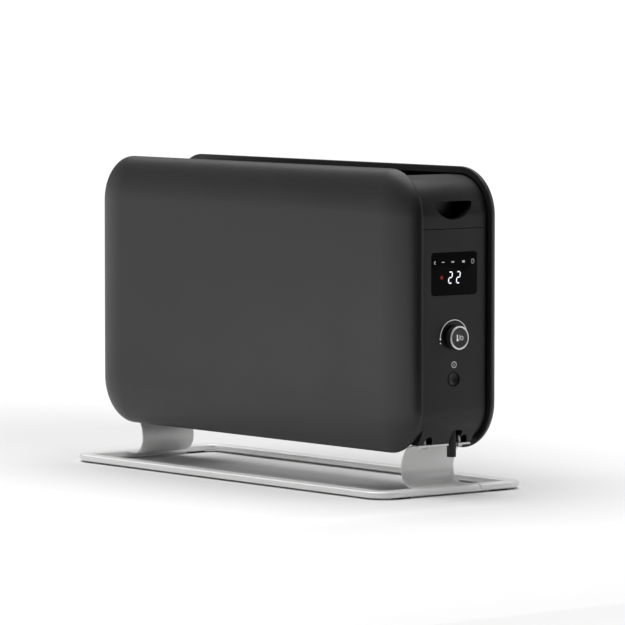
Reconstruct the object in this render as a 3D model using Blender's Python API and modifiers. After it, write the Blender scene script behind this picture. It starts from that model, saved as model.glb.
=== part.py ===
"""Oil filled radiator heater with steel cover panels, two moulded end housings and a floor frame.

The front faces -Y, the control end faces +X and the floor is at z = 0. The origin is the
bottom centre of the whole object. All lengths are in metres.
"""
import math

import bmesh
import bpy
from mathutils import Vector

MM = 0.001
GAP = 0.3 * MM              # between pieces that touch

# Overall
HEIGHT = 430 * MM           # floor to the top edge of the cover panels
COVER_LENGTH = 690 * MM     # cover panels, along X
COVER_BOTTOM = 55 * MM      # floor to the bottom edge of the cover panels

# Cover panels: pressed steel trays with soft edges and a return lip
RIM_Y = 58.5 * MM           # lip plane, from the middle of the heater
PILLOW_DEPTH = 24 * MM      # lip plane to the flat face
PILLOW_EDGE = 60 * MM       # width of the curved border, seen from the front
FACE_CORNER = 4 * MM        # corner radius of the flat face inside the border
LIP = 9 * MM                # width of the return lip
LIP_BEND = 1.5 * MM
COVER_SHEET = 1.0 * MM

# End housings
CAP_INSET_X = 7 * MM        # housing face behind the ends of the cover panels
CAP_INSET_Z = 11 * MM       # housing inside the cover panels' top and bottom edges
CAP_SIDE_GAP = 1 * MM       # housing sides inside the cover lips
CAP_CORNER = 54 * MM
CAP_EDGE = 3 * MM           # rounding of the housing's long edges
CAP_WALL = 2.5 * MM
CAP_DEPTH = 79 * MM
SEAM_DROP = 78.5 * MM       # top of the covers down to the joint below the handle cover
SEAM_WIDTH = 0.8 * MM

# Handle recess: flat above, half oval below
RECESS_DROP = 43 * MM       # top of the covers down to the recess
RECESS_HALF_WIDTH = 32.5 * MM
RECESS_HEIGHT = 24 * MM
RECESS_DEPTH = 30 * MM
RECESS_WALL = 2 * MM

# Display
WINDOW_SHARE = 0.7916       # middle of the window, of the way up the housing to the joint
WINDOW_WIDTH = 78.5 * MM
WINDOW_HEIGHT = 56.5 * MM
WINDOW_CORNER = 5 * MM
WINDOW_SHEET = 1.5 * MM
DISPLAY_SIDE = 6.25 * MM    # window edge to the display module
DISPLAY_RISE = 7.25 * MM
DISPLAY_DEPTH = 6 * MM

# Dial
DIAL_SHARE = 0.4974         # the dial's axis, of the same way
DIAL_RADIUS = 16.5 * MM
DIAL_RING_WIDTH = 3.5 * MM
DIAL_STAND_OUT = 12 * MM
DIAL_LIFT = 1.8 * MM        # clear space behind the dial, for pressing it in
DIAL_TRIM = 1.6 * MM
DIAL_PRESS = 1 * MM
SHAFT_RADIUS = 3 * MM
SHAFT_CLEAR = 0.4 * MM

# Power rocker
ROCKER_SHARE = 0.303        # middle of the rocker, of the same way
SWITCH_RADIUS = 10.25 * MM
SWITCH_WALL = 1 * MM
SWITCH_PROUD = 0.8 * MM
SWITCH_DEPTH = 16 * MM
ROCKER_CLEAR = 0.4 * MM
ROCKER_HALF = 3.2 * MM
ROCKER_TILT = 7.0           # degrees, to each side
PIVOT_RADIUS = 1.2 * MM

# Circuit boards
BOARD_SHEET = 1.6 * MM
BOARD_BACK = 20.5 * MM      # front of the control board behind the outside of the housing face
BOARD_HALF_WIDTH = 40 * MM
BOARD_BELOW_ROCKER = 20.5 * MM
BOARD_BELOW_WINDOW = 42 * MM
POST_RADIUS = 3.5 * MM
BOARD_SCREW_RADIUS = 1.5 * MM

# Radiator core
FIN_COUNT = 9
FIN_SIDE_GAP = 21.5 * MM    # fin edge to the inside of a cover
FIN_RISE = 37 * MM          # bottom of the covers up to the fins
FIN_DROP = 28 * MM          # top of the covers down to the fins
FIN_SHEET = 1.6 * MM
FIN_CORNER = 18 * MM
CHANNEL_HALF_WIDTH = 21 * MM
CHANNEL_THICKNESS = 13 * MM
BOSS_RADIUS = 24 * MM
BOSS_INSET = 26 * MM        # boss centres inside the fins' top and bottom edges
CORE_WALL = 1.6 * MM        # bosses and oil channel
END_WALL = 2 * MM           # closed ends of the core
ELEMENT_ROD = 4 * MM
ELEMENT_HALF_GAP = 8.5 * MM
ELEMENT_REACH = 470 * MM
FLANGE_RADIUS = 31 * MM
FLANGE_SHEET = 6 * MM

# Core brackets
BRACKET_SHEET = 1.5 * MM
BRACKET_SIDE_GAP = 3 * MM   # web edge to the inside of a housing
EAR_RISE = 95 * MM          # bottom of the covers up to the brackets' ears
EAR_DROP = 110 * MM         # top of the covers down to the ears
BRACKET_TAB = 14 * MM
BRACKET_FOOT = 24 * MM
WEB_STEP = 0.1 * MM

# Top grille
GRILLE_SHEET = 1.5 * MM
GRILLE_BELOW = 7 * MM       # top of the grille below the housings' top
GRILLE_SIDE_GAP = 1.5 * MM  # grille inside the cover lips
GRILLE_SLOTS = 16
SLOT_WIDTH = 12 * MM
SLOT_END = 11 * MM          # grille edge to the end of a slot

# Floor frame
FRAME_INSET = 4 * MM        # ends of the frame inside the ends of the covers
FRAME_WIDTH = 258 * MM
FRAME_CORNER = 32 * MM
RAIL_WIDTH = 22 * MM
RAIL_TOP = 11 * MM
RAIL_BOTTOM = 2.1 * MM
RAIL_ROUND = 3.6 * MM
PAD_LENGTH = 26 * MM
PAD_WIDTH = 12 * MM
PAD_Y = 84 * MM

# Feet
FOOT_WIDTH = 90 * MM
FOOT_SHEET = 2.5 * MM
FOOT_WAIST_INSET = 54.3 * MM  # housing face to the middle of the sheet at its narrowest
FOOT_WAIST_Z = 31 * MM
FOOT_TOP_RUN = 24 * MM      # waist to the start of the flat arm
FOOT_LOW_RUN = 19.5 * MM    # waist to the start of the saddle
FOOT_ARM_INSET = 19 * MM    # housing face to the end of the flat arm
SADDLE_DROP = 3 * MM        # outer edge of the saddle above the floor
SEAT_MARGIN = 1 * MM        # foot seat beyond the foot's edges
FOOT_SCREW_INSET = 25 * MM  # housing face to the foot screws
FOOT_SCREW_EDGE = 15 * MM   # foot edge to its screws
FOOT_SCREW_RADIUS = 2.5 * MM
FOOT_SCREW_HEAD = 4.8 * MM
FOOT_SCREW_REACH = 9 * MM

# Cord outlet
OUTLET_INSET = 23 * MM      # housing face to the tube
OUTLET_Y = 15.5 * MM
OUTLET_RADIUS = 6.1 * MM
OUTLET_BORE = 3.8 * MM
OUTLET_DROP = 18.5 * MM     # tube below the housing
OUTLET_FLANGE = 7.8 * MM
SCOOP_HEIGHT = 18 * MM
SCOOP_HALF_Y = 26 * MM
SCOOP_Y = 12 * MM
SCOOP_DEPTH = 19 * MM
OUTLET_POCKET = 17 * MM

# Small electrical pieces
CUTOUT_DROP = 130 * MM      # top of the covers down to the cut-out
CUTOUT_RADIUS = 9 * MM
TERMINAL_SHIFT = 15 * MM    # block's foot below midway between the flange and the cut-out
TILT_RISE = 195 * MM        # bottom of the covers up to the tilt switch's pin
TILT_SIDE = 22 * MM         # pendulum inside the bracket's edge
TILT_ARM = 17 * MM
TILT_WEIGHT = 5 * MM

# Worked out from the values above
COVER_END = COVER_LENGTH / 2
COVER_HEIGHT = HEIGHT - COVER_BOTTOM
COVER_MID_Z = (HEIGHT + COVER_BOTTOM) / 2
COVER_CORNER = PILLOW_EDGE + FACE_CORNER
COVER_FACE_Y = RIM_Y + PILLOW_DEPTH
COVER_INNER_Y = COVER_FACE_Y - COVER_SHEET
CAP_X = COVER_END - CAP_INSET_X
CAP_TOP = HEIGHT - CAP_INSET_Z
CAP_BOTTOM = COVER_BOTTOM + CAP_INSET_Z
CAP_IN_X = CAP_X - CAP_DEPTH
CAP_HALF_Y = RIM_Y - CAP_SIDE_GAP
SEAM_Z = HEIGHT - SEAM_DROP
RECESS_TOP = HEIGHT - RECESS_DROP
WINDOW_Z = CAP_BOTTOM + WINDOW_SHARE * (SEAM_Z - CAP_BOTTOM)
DISPLAY_WIDTH = WINDOW_WIDTH - 2 * DISPLAY_SIDE
DISPLAY_HEIGHT = WINDOW_HEIGHT - 2 * DISPLAY_RISE
DIAL_Z = CAP_BOTTOM + DIAL_SHARE * (SEAM_Z - CAP_BOTTOM)
DIAL_FACE_RADIUS = DIAL_RADIUS - DIAL_RING_WIDTH
DIAL_FRONT = CAP_X + DIAL_STAND_OUT
OFF_CENTRE = -(DIAL_FRONT - COVER_END) / 2
ROCKER_Z = CAP_BOTTOM + ROCKER_SHARE * (SEAM_Z - CAP_BOTTOM)
BOARD_X = CAP_X - BOARD_BACK
BOARD_BOTTOM = ROCKER_Z - BOARD_BELOW_ROCKER
BOARD_TOP = WINDOW_Z - BOARD_BELOW_WINDOW
BRACKET_OUT_X = CAP_IN_X - GAP
BRACKET_IN_X = BRACKET_OUT_X - BRACKET_SHEET
BRACKET_HALF_WIDTH = CAP_HALF_Y - CAP_WALL - BRACKET_SIDE_GAP
BRACKET_EAR_BOTTOM = COVER_BOTTOM + EAR_RISE
BRACKET_EAR_TOP = HEIGHT - EAR_DROP
GRILLE_TOP = CAP_TOP - GRILLE_BELOW
GRILLE_HALF_WIDTH = RIM_Y - GRILLE_SIDE_GAP
SLOT_HALF_LENGTH = GRILLE_HALF_WIDTH - SLOT_END
CORE_HALF = BRACKET_IN_X - GAP
FIN_PITCH = 2 * CORE_HALF / FIN_COUNT
FIN_HALF_WIDTH = COVER_INNER_Y - FIN_SIDE_GAP
FIN_BOTTOM = COVER_BOTTOM + FIN_RISE
FIN_TOP = HEIGHT - FIN_DROP
LOW_BOSS_Z = FIN_BOTTOM + BOSS_INSET
HIGH_BOSS_Z = FIN_TOP - BOSS_INSET
FRAME_LENGTH = COVER_LENGTH - 2 * FRAME_INSET
FOOT_WAIST_X = CAP_X - FOOT_WAIST_INSET
FOOT_ARM_END = CAP_X - FOOT_ARM_INSET
FOOT_SCREW_X = CAP_X - FOOT_SCREW_INSET
FOOT_SCREW_Y = FOOT_WIDTH / 2 - FOOT_SCREW_EDGE
SEAT_HALF_Y = FOOT_WIDTH / 2 + SEAT_MARGIN
ARM_Z = CAP_BOTTOM - GAP - FOOT_SHEET / 2
SADDLE_Z = RAIL_TOP - FOOT_SHEET / 2
OUTLET_X = CAP_X - OUTLET_INSET
OUTLET_BOTTOM = CAP_BOTTOM - OUTLET_DROP
SCOOP_TOP = CAP_BOTTOM + SCOOP_HEIGHT
SCOOP_BACK_X = CAP_X - SCOOP_DEPTH
CUTOUT_Z = HEIGHT - CUTOUT_DROP
TERMINAL_Z = (LOW_BOSS_Z + FLANGE_RADIUS + CUTOUT_Z - CUTOUT_RADIUS) / 2 - TERMINAL_SHIFT
TILT_Z = COVER_BOTTOM + TILT_RISE
TILT_Y = BRACKET_HALF_WIDTH - TILT_SIDE


# ---------------------------------------------------------------- scene and materials

def clear_scene():
    for obj in list(bpy.data.objects):
        bpy.data.objects.remove(obj, do_unlink=True)


def new_collection(name):
    collection = bpy.data.collections.new(name)
    bpy.context.scene.collection.children.link(collection)
    return collection


clear_scene()
HEATER = new_collection("oil_filled_radiator_heater")
CUTTERS = new_collection("cutters")

CENTRE = bpy.data.objects.new("heater_centre", None)
CENTRE.location = (OFF_CENTRE, 0, 0)
HEATER.objects.link(CENTRE)


def new_material(name, colour, roughness, metallic=0.0):
    material = bpy.data.materials.new(name)
    material.use_nodes = True
    shader = material.node_tree.nodes["Principled BSDF"]
    shader.inputs["Base Color"].default_value = (*colour, 1)
    shader.inputs["Roughness"].default_value = roughness
    shader.inputs["Metallic"].default_value = metallic
    return material


CHARCOAL_PAINT = ("charcoal_paint", (0.040, 0.041, 0.043), 0.55)
BLACK_PLASTIC = ("black_plastic", (0.020, 0.020, 0.021), 0.42)
GLOSS_BLACK = ("gloss_black", (0.006, 0.006, 0.007), 0.10)
SATIN_SILVER = ("satin_silver", (0.62, 0.62, 0.63), 0.34, 1.0)
DIAL_SILVER = ("dial_silver", (0.80, 0.80, 0.81), 0.25, 1.0)
CORE_PAINT = ("core_paint", (0.030, 0.030, 0.032), 0.60)
ZINC_STEEL = ("zinc_steel", (0.50, 0.50, 0.52), 0.40, 1.0)
BOARD_GREEN = ("board_green", (0.020, 0.120, 0.050), 0.45)
WHITE_PLASTIC = ("white_plastic", (0.70, 0.70, 0.68), 0.45)
BLACK_RUBBER = ("black_rubber", (0.018, 0.018, 0.018), 0.80)


# ---------------------------------------------------------------- building helpers

def add_mesh_object(name, bm, finish, smooth=True):
    """Put a bmesh into a new object; finish None makes it a cutter."""
    bmesh.ops.recalc_face_normals(bm, faces=bm.faces)
    mesh = bpy.data.meshes.new(name)
    bm.to_mesh(mesh)
    bm.free()
    obj = bpy.data.objects.new(name, mesh)
    obj.parent = CENTRE
    if finish is None:
        CUTTERS.objects.link(obj)
        obj.hide_render = True
        obj.display_type = "WIRE"
        return obj
    HEATER.objects.link(obj)
    mesh.materials.append(new_material(name + "_" + finish[0], *finish[1:]))
    if smooth:
        mesh.shade_smooth()
        mesh.set_sharp_from_angle(angle=math.radians(32))
    return obj


def boolean(obj, other, operation="DIFFERENCE"):
    modifier = obj.modifiers.new(operation.lower() + "_" + other.name, "BOOLEAN")
    modifier.operation = operation
    modifier.object = other
    modifier.solver = "EXACT"


def add_box(name, low, high, finish, bevel=0.0):
    """Box between two opposite corners, with rounded edges where bevel is given."""
    bm = bmesh.new()
    bmesh.ops.create_cube(bm, size=1)
    size = [h - l for l, h in zip(low, high)]
    middle = [(h + l) / 2 for l, h in zip(low, high)]
    bmesh.ops.scale(bm, vec=size, verts=bm.verts)
    bmesh.ops.translate(bm, vec=middle, verts=bm.verts)
    obj = add_mesh_object(name, bm, finish, smooth=False)
    if bevel:
        modifier = obj.modifiers.new("rounded_edges", "BEVEL")
        modifier.width = bevel
        modifier.segments = 2
    return obj


AXIS_TURN = {"X": (0, math.pi / 2, 0), "Y": (-math.pi / 2, 0, 0), "Z": (0, 0, 0)}


def add_cylinder(name, radius, length, start, axis, finish, segments=24):
    """Cylinder that runs for its length along an axis from the point start."""
    bm = bmesh.new()
    bmesh.ops.create_cone(bm, cap_ends=True, segments=segments, radius1=radius, radius2=radius, depth=length)
    bmesh.ops.translate(bm, vec=(0, 0, length / 2), verts=bm.verts)
    obj = add_mesh_object(name, bm, finish)
    obj.location = start
    obj.rotation_euler = AXIS_TURN[axis]
    return obj


def add_turned(name, profile, location, axis, finish, steps=32, closed=False):
    """Turned piece: (radius, height) points, outer side from top to bottom, about an axis."""
    mesh = bpy.data.meshes.new(name)
    count = len(profile)
    edges = [(i, i + 1) for i in range(count - 1)]
    if closed:
        edges.append((count - 1, 0))
    mesh.from_pydata([(r, 0, z) for r, z in profile], edges, [])
    obj = bpy.data.objects.new(name, mesh)
    obj.parent = CENTRE
    obj.location = location
    obj.rotation_euler = AXIS_TURN[axis]
    screw = obj.modifiers.new("turn", "SCREW")
    screw.steps = steps
    screw.render_steps = steps
    screw.use_merge_vertices = True
    screw.merge_threshold = 0.00005
    if finish is None:
        CUTTERS.objects.link(obj)
        obj.hide_render = True
        obj.display_type = "WIRE"
        return obj
    HEATER.objects.link(obj)
    mesh.materials.append(new_material(name + "_" + finish[0], *finish[1:]))
    return obj


def rounded_rectangle(width, height, radius, steps):
    """Anticlockwise outline of a rounded rectangle about (0, 0)."""
    points = []
    corners = ((1, 1, 0), (-1, 1, 90), (-1, -1, 180), (1, -1, 270))
    for side_a, side_b, start in corners:
        centre_a = side_a * (width / 2 - radius)
        centre_b = side_b * (height / 2 - radius)
        for step in range(steps + 1):
            angle = math.radians(start + 90 * step / steps)
            points.append((centre_a + radius * math.cos(angle), centre_b + radius * math.sin(angle)))
    return points


def loft(bm, rings, capped=True, closed=False):
    """Skin a list of rings of equal point count, with end faces or back to the first ring."""
    verts = [[bm.verts.new(p) for p in ring] for ring in rings]
    pairs = list(zip(verts, verts[1:]))
    if closed:
        pairs.append((verts[-1], verts[0]))
    for ring_a, ring_b in pairs:
        for i in range(len(ring_a)):
            j = (i + 1) % len(ring_a)
            bm.faces.new((ring_a[i], ring_a[j], ring_b[j], ring_b[i]))
    if capped and not closed:
        bm.faces.new(verts[0])
        bm.faces.new(list(reversed(verts[-1])))


def add_prism(name, outline, low, high, plane, finish):
    """Flat outline extruded across its plane: 'XZ' outlines run along Y, 'YZ' ones along X."""
    def place(a, b, c):
        if plane == "XZ":
            return Vector((a, c, b))
        if plane == "YZ":
            return Vector((c, a, b))
        return Vector((a, b, c))
    bm = bmesh.new()
    loft(bm, [[place(a, b, c) for a, b in outline] for c in (low, high)])
    return add_mesh_object(name, bm, finish)


def mirrored(side, points):
    return [(side * x, z) for x, z in points]


# ---------------------------------------------------------------- cover panels

def cover_ring(inset, y):
    outline = rounded_rectangle(COVER_LENGTH - 2 * inset, COVER_HEIGHT - 2 * inset, COVER_CORNER - inset, 8)
    return [Vector((a, y, COVER_MID_Z + b)) for a, b in outline]


def make_cover(name, side):
    """Tray: a return lip, then an edge that follows a quarter ellipse in to the flat face."""
    steps = 7
    bend_y = RIM_Y + LIP_BEND
    rings = [cover_ring(LIP, side * RIM_Y), cover_ring(LIP_BEND, side * RIM_Y)]
    for step in range(steps + 1):
        turn = math.pi / 2 * step / steps
        inset = PILLOW_EDGE * (1 - math.cos(turn))
        rings.append(cover_ring(inset, side * (bend_y + (COVER_FACE_Y - bend_y) * math.sin(turn))))
    bm = bmesh.new()
    loft(bm, rings, capped=False)
    bm.verts.ensure_lookup_table()
    bm.faces.new(bm.verts[-len(rings[-1]):])
    bmesh.ops.recalc_face_normals(bm, faces=bm.faces)
    face = max(bm.faces, key=lambda f: f.calc_area())
    if face.normal.y * side < 0:
        bmesh.ops.reverse_faces(bm, faces=bm.faces)
    mesh = bpy.data.meshes.new(name)
    bm.to_mesh(mesh)
    bm.free()
    mesh.shade_smooth()
    mesh.set_sharp_from_angle(angle=math.radians(32))
    mesh.materials.append(new_material(name + "_" + CHARCOAL_PAINT[0], *CHARCOAL_PAINT[1:]))
    obj = bpy.data.objects.new(name, mesh)
    obj.parent = CENTRE
    HEATER.objects.link(obj)
    solid = obj.modifiers.new("sheet", "SOLIDIFY")
    solid.thickness = COVER_SHEET
    solid.offset = -1
    solid.use_even_offset = True
    return obj


# ---------------------------------------------------------------- end housings

def cap_outline(side, inset, end_extra=0.0):
    """Side view of a housing: straight at its inner end, two large corners at its outer end."""
    steps = 8
    radius = CAP_CORNER - inset
    points = [(CAP_IN_X - end_extra, CAP_BOTTOM + inset)]
    for centre_z, start in ((CAP_BOTTOM + CAP_CORNER, -90), (CAP_TOP - CAP_CORNER, 0)):
        for step in range(steps + 1):
            angle = math.radians(start + 90 * step / steps)
            x = CAP_X - CAP_CORNER + radius * math.cos(angle)
            points.append((x, centre_z + radius * math.sin(angle)))
    points.append((CAP_IN_X - end_extra, CAP_TOP - inset))
    return mirrored(side, points)


def cap_solid(name, side, finish):
    """Housing outline carried across Y, drawn in a little at both sides for rounded edges."""
    soft = CAP_EDGE * (1 - math.sqrt(0.5))
    sections = ((CAP_EDGE, CAP_HALF_Y), (soft, CAP_HALF_Y - soft), (0, CAP_HALF_Y - CAP_EDGE))
    stations = [(inset, -y) for inset, y in sections] + [(inset, y) for inset, y in reversed(sections)]
    bm = bmesh.new()
    loft(bm, [[Vector((x, y, z)) for x, z in cap_outline(side, inset)] for inset, y in stations])
    return add_mesh_object(name, bm, finish)


def cap_cavity(name, side):
    reach = CAP_HALF_Y - CAP_WALL
    return add_prism(name, cap_outline(side, CAP_WALL, 5 * MM), -reach, reach, "XZ", None)


def recess_outline(grow):
    """Flat top edge with a half oval below it, in Y and Z."""
    steps = 14
    points = []
    for step in range(steps + 1):
        angle = math.pi + math.pi * step / steps
        y = (RECESS_HALF_WIDTH + grow) * math.cos(angle)
        points.append((y, RECESS_TOP + (RECESS_HEIGHT + grow) * math.sin(angle)))
    points.append((RECESS_HALF_WIDTH + grow, RECESS_TOP + grow))
    points.append((-RECESS_HALF_WIDTH - grow, RECESS_TOP + grow))
    if not grow:
        points = points[:-2]
    return points


def cross_span(side, outer, inner):
    """Lowest and highest X of a stretch between two distances from the middle."""
    return min(side * outer, side * inner), max(side * outer, side * inner)


def make_handle_cover(name, side):
    cover = cap_solid(name, side, BLACK_PLASTIC)
    cavity = cap_cavity(name + "_cavity", side)
    pocket = add_prism(name + "_pocket", recess_outline(RECESS_WALL),
                       *cross_span(side, CAP_X - RECESS_DEPTH - RECESS_WALL, CAP_X + RECESS_WALL), "YZ", None)
    boolean(cavity, pocket)
    boolean(cover, cavity)
    recess = add_prism(name + "_recess", recess_outline(0),
                       *cross_span(side, CAP_X - RECESS_DEPTH, CAP_X + 10 * MM), "YZ", None)
    boolean(cover, recess)
    low, high = cross_span(side, CAP_IN_X - 10 * MM, CAP_X + 10 * MM)
    below = add_box(name + "_below", (low, -CAP_HALF_Y - 5 * MM, 0),
                    (high, CAP_HALF_Y + 5 * MM, SEAM_Z), None)
    boolean(cover, below)
    return cover


def seat_box(side):
    """Squared-off block under the lower corner, where the foot is screwed on."""
    low, high = cross_span(side, CAP_X - CAP_CORNER, FOOT_ARM_END)
    return (low, -SEAT_HALF_Y, CAP_BOTTOM), (high, SEAT_HALF_Y, CAP_BOTTOM + CAP_CORNER / 3)


def make_housing(name, side):
    """Lower housing, with a solid foot seat below its outer corner."""
    housing = cap_solid(name, side, BLACK_PLASTIC)
    seat = add_box(name + "_seat", *seat_box(side), None)
    boolean(housing, seat, "UNION")
    cavity = cap_cavity(name + "_cavity", side)
    boolean(housing, cavity)
    low, high = cross_span(side, CAP_IN_X - 10 * MM, CAP_X + 10 * MM)
    above = add_box(name + "_above", (low, -CAP_HALF_Y - 5 * MM, SEAM_Z - SEAM_WIDTH),
                    (high, CAP_HALF_Y + 5 * MM, CAP_TOP + 5 * MM), None)
    boolean(housing, above)
    for index, y in enumerate((-FOOT_SCREW_Y, FOOT_SCREW_Y)):
        hole = add_cylinder(name + "_foot_hole_%d" % (index + 1), FOOT_SCREW_RADIUS + GAP,
                            FOOT_SCREW_REACH + 2 * MM,
                            (side * FOOT_SCREW_X, y, CAP_BOTTOM - MM), "Z", None, 12)
        boolean(housing, hole)
    return housing, cavity


BOARD_POSTS = [(y, z) for y in (-BOARD_HALF_WIDTH + 5 * MM, BOARD_HALF_WIDTH - 5 * MM)
               for z in (BOARD_BOTTOM + 5 * MM, BOARD_TOP - 5 * MM)]


def make_control_housing():
    """Right housing: openings for the display, dial and rocker, board posts and the cord scoop."""
    housing, cavity = make_housing("control_housing", 1)
    for index, (y, z) in enumerate(BOARD_POSTS):
        post = add_cylinder("board_post_%d" % (index + 1), POST_RADIUS, BOARD_BACK,
                            (BOARD_X + GAP, y, z), "X", None, 12)
        boolean(cavity, post)
        hole = add_cylinder("board_post_hole_%d" % (index + 1), BOARD_SCREW_RADIUS + GAP,
                            8 * MM, (BOARD_X - MM, y, z), "X", None, 10)
        boolean(housing, hole)
    pocket = add_prism("window_pocket",
                       [(y, WINDOW_Z + z) for y, z in rounded_rectangle(
                           WINDOW_WIDTH + 2 * GAP, WINDOW_HEIGHT + 2 * GAP, WINDOW_CORNER + GAP, 4)],
                       CAP_X - WINDOW_SHEET, CAP_X + 5 * MM, "YZ", None)
    boolean(housing, pocket)
    light_way = add_box("display_opening",
                        (CAP_X - 10 * MM, -DISPLAY_WIDTH / 2 - GAP, WINDOW_Z - DISPLAY_HEIGHT / 2 - GAP),
                        (CAP_X + MM, DISPLAY_WIDTH / 2 + GAP, WINDOW_Z + DISPLAY_HEIGHT / 2 + GAP), None)
    boolean(housing, light_way)
    shaft_way = add_cylinder("shaft_opening", SHAFT_RADIUS + 1.5 * MM, 10 * MM,
                             (CAP_X - 6 * MM, 0, DIAL_Z), "X", None, 20)
    boolean(housing, shaft_way)
    switch_way = add_cylinder("switch_opening", SWITCH_RADIUS + GAP, 10 * MM,
                              (CAP_X - 6 * MM, 0, ROCKER_Z), "X", None, 32)
    boolean(housing, switch_way)
    pocket_half = OUTLET_POCKET / 2
    pocket_room = add_box("outlet_pocket_room",
                          (OUTLET_X - pocket_half - CAP_WALL, OUTLET_Y - pocket_half - CAP_WALL, 0),
                          (CAP_X + 5 * MM, OUTLET_Y + pocket_half + CAP_WALL, SCOOP_TOP + CAP_WALL), None)
    boolean(cavity, pocket_room)
    outlet_pocket = add_box("outlet_pocket", (OUTLET_X - pocket_half, OUTLET_Y - pocket_half, 0),
                            (CAP_X + 5 * MM, OUTLET_Y + pocket_half, SCOOP_TOP), None, bevel=3 * MM)
    boolean(housing, outlet_pocket)
    scoop_room = add_box("scoop_room",
                         (SCOOP_BACK_X - CAP_WALL, SCOOP_Y - SCOOP_HALF_Y - CAP_WALL, 0),
                         (CAP_X + 5 * MM, SCOOP_Y + SCOOP_HALF_Y + CAP_WALL, SCOOP_TOP + CAP_WALL), None)
    boolean(cavity, scoop_room)
    scoop = add_box("scoop", (SCOOP_BACK_X, SCOOP_Y - SCOOP_HALF_Y, 0),
                    (CAP_X + 5 * MM, SCOOP_Y + SCOOP_HALF_Y, SCOOP_TOP), None, bevel=2 * MM)
    boolean(housing, scoop)
    outlet_way = add_cylinder("outlet_opening", OUTLET_RADIUS + GAP, 10 * MM,
                              (OUTLET_X, OUTLET_Y, SCOOP_TOP - 4 * MM), "Z", None, 20)
    boolean(housing, outlet_way)
    return housing


# ---------------------------------------------------------------- display, dial and rocker

def make_display():
    outline = [(y, WINDOW_Z + z) for y, z in rounded_rectangle(WINDOW_WIDTH, WINDOW_HEIGHT, WINDOW_CORNER, 4)]
    add_prism("display_window", outline, CAP_X - WINDOW_SHEET + GAP, CAP_X, "YZ", GLOSS_BLACK)
    front = CAP_X - WINDOW_SHEET
    back = front - DISPLAY_DEPTH
    half_w, half_h = DISPLAY_WIDTH / 2, DISPLAY_HEIGHT / 2
    add_box("display_module", (back, -half_w, WINDOW_Z - half_h), (front, half_w, WINDOW_Z + half_h),
            BLACK_PLASTIC, bevel=0.6 * MM)
    add_box("display_board", (back - GAP - BOARD_SHEET, -half_w - 3 * MM, WINDOW_Z - half_h - 3 * MM),
            (back - GAP, half_w + 3 * MM, WINDOW_Z + half_h + 3 * MM), BOARD_GREEN)


def make_control_board():
    board = add_box("control_board", (BOARD_X - BOARD_SHEET, -BOARD_HALF_WIDTH, BOARD_BOTTOM),
                    (BOARD_X, BOARD_HALF_WIDTH, BOARD_TOP), BOARD_GREEN)
    for index, (y, z) in enumerate(BOARD_POSTS):
        hole = add_cylinder("board_hole_%d" % (index + 1), BOARD_SCREW_RADIUS + GAP, 5 * MM,
                            (BOARD_X - 3 * MM, y, z), "X", None, 10)
        boolean(board, hole)
        head_x = BOARD_X - BOARD_SHEET - GAP
        profile = [(0, 8 * MM), (BOARD_SCREW_RADIUS, 8 * MM), (BOARD_SCREW_RADIUS, 0),
                   (2 * BOARD_SCREW_RADIUS, 0), (2 * BOARD_SCREW_RADIUS, -1.6 * MM), (0, -1.6 * MM)]
        add_turned("board_screw_%d" % (index + 1), profile, (head_x, y, z), "X", ZINC_STEEL, 10)


def make_dial():
    """Dial on its shaft; the shaft also pushes a plunger inside the selector body."""
    body_back = CAP_X + DIAL_LIFT
    body_front = DIAL_FRONT - DIAL_TRIM - GAP
    shaft_tip = body_front - 3 * MM
    depth = body_front - body_back
    grip = DIAL_RADIUS - 0.5 * MM
    add_turned("dial_body",
               [(0, depth), (grip - 0.8 * MM, depth), (grip, depth - 0.8 * MM), (grip, 1 * MM),
                (grip - 1 * MM, 0), (SHAFT_RADIUS + GAP, 0),
                (SHAFT_RADIUS + GAP, shaft_tip + GAP - body_back), (0, shaft_tip + GAP - body_back)],
               (body_back, 0, DIAL_Z), "X", BLACK_PLASTIC, 36)
    add_turned("dial_ring",
               [(DIAL_FACE_RADIUS + GAP, DIAL_TRIM), (DIAL_RADIUS - 0.5 * MM, DIAL_TRIM),
                (DIAL_RADIUS, DIAL_TRIM - 0.5 * MM), (DIAL_RADIUS, 0), (DIAL_FACE_RADIUS + GAP, 0)],
               (DIAL_FRONT - DIAL_TRIM, 0, DIAL_Z), "X", DIAL_SILVER, 36, closed=True)
    add_turned("dial_cap",
               [(0, DIAL_TRIM - 0.2 * MM), (DIAL_FACE_RADIUS - 0.4 * MM, DIAL_TRIM - 0.2 * MM),
                (DIAL_FACE_RADIUS, DIAL_TRIM - 0.6 * MM), (DIAL_FACE_RADIUS, 0), (0, 0)],
               (DIAL_FRONT - DIAL_TRIM, 0, DIAL_Z), "X", GLOSS_BLACK, 36)

    case_back = BOARD_X + GAP
    case_front = CAP_X - CAP_WALL - GAP
    plunger_room = case_back + 1.5 * MM
    plunger_back = plunger_room + DIAL_PRESS + 0.5 * MM
    plunger_front = plunger_back + 2 * MM
    room_front = plunger_front + 0.5 * MM
    selector = add_box("selector_case", (case_back, -7 * MM, DIAL_Z - 7 * MM),
                       (case_front, 7 * MM, DIAL_Z + 7 * MM), ZINC_STEEL)
    room = add_cylinder("plunger_room", 5.2 * MM, room_front - plunger_room,
                        (plunger_room, 0, DIAL_Z), "X", None, 20)
    boolean(selector, room)
    bore = add_cylinder("selector_bore", SHAFT_RADIUS + SHAFT_CLEAR, case_front - room_front + 2 * MM,
                        (room_front - MM, 0, DIAL_Z), "X", None, 20)
    boolean(selector, bore)
    add_cylinder("selector_plunger", 4.6 * MM, plunger_front - plunger_back,
                 (plunger_back, 0, DIAL_Z), "X", WHITE_PLASTIC, 16)
    add_cylinder("dial_shaft", SHAFT_RADIUS, shaft_tip - plunger_front - GAP,
                 (plunger_front + GAP, 0, DIAL_Z), "X", ZINC_STEEL, 16)


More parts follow.
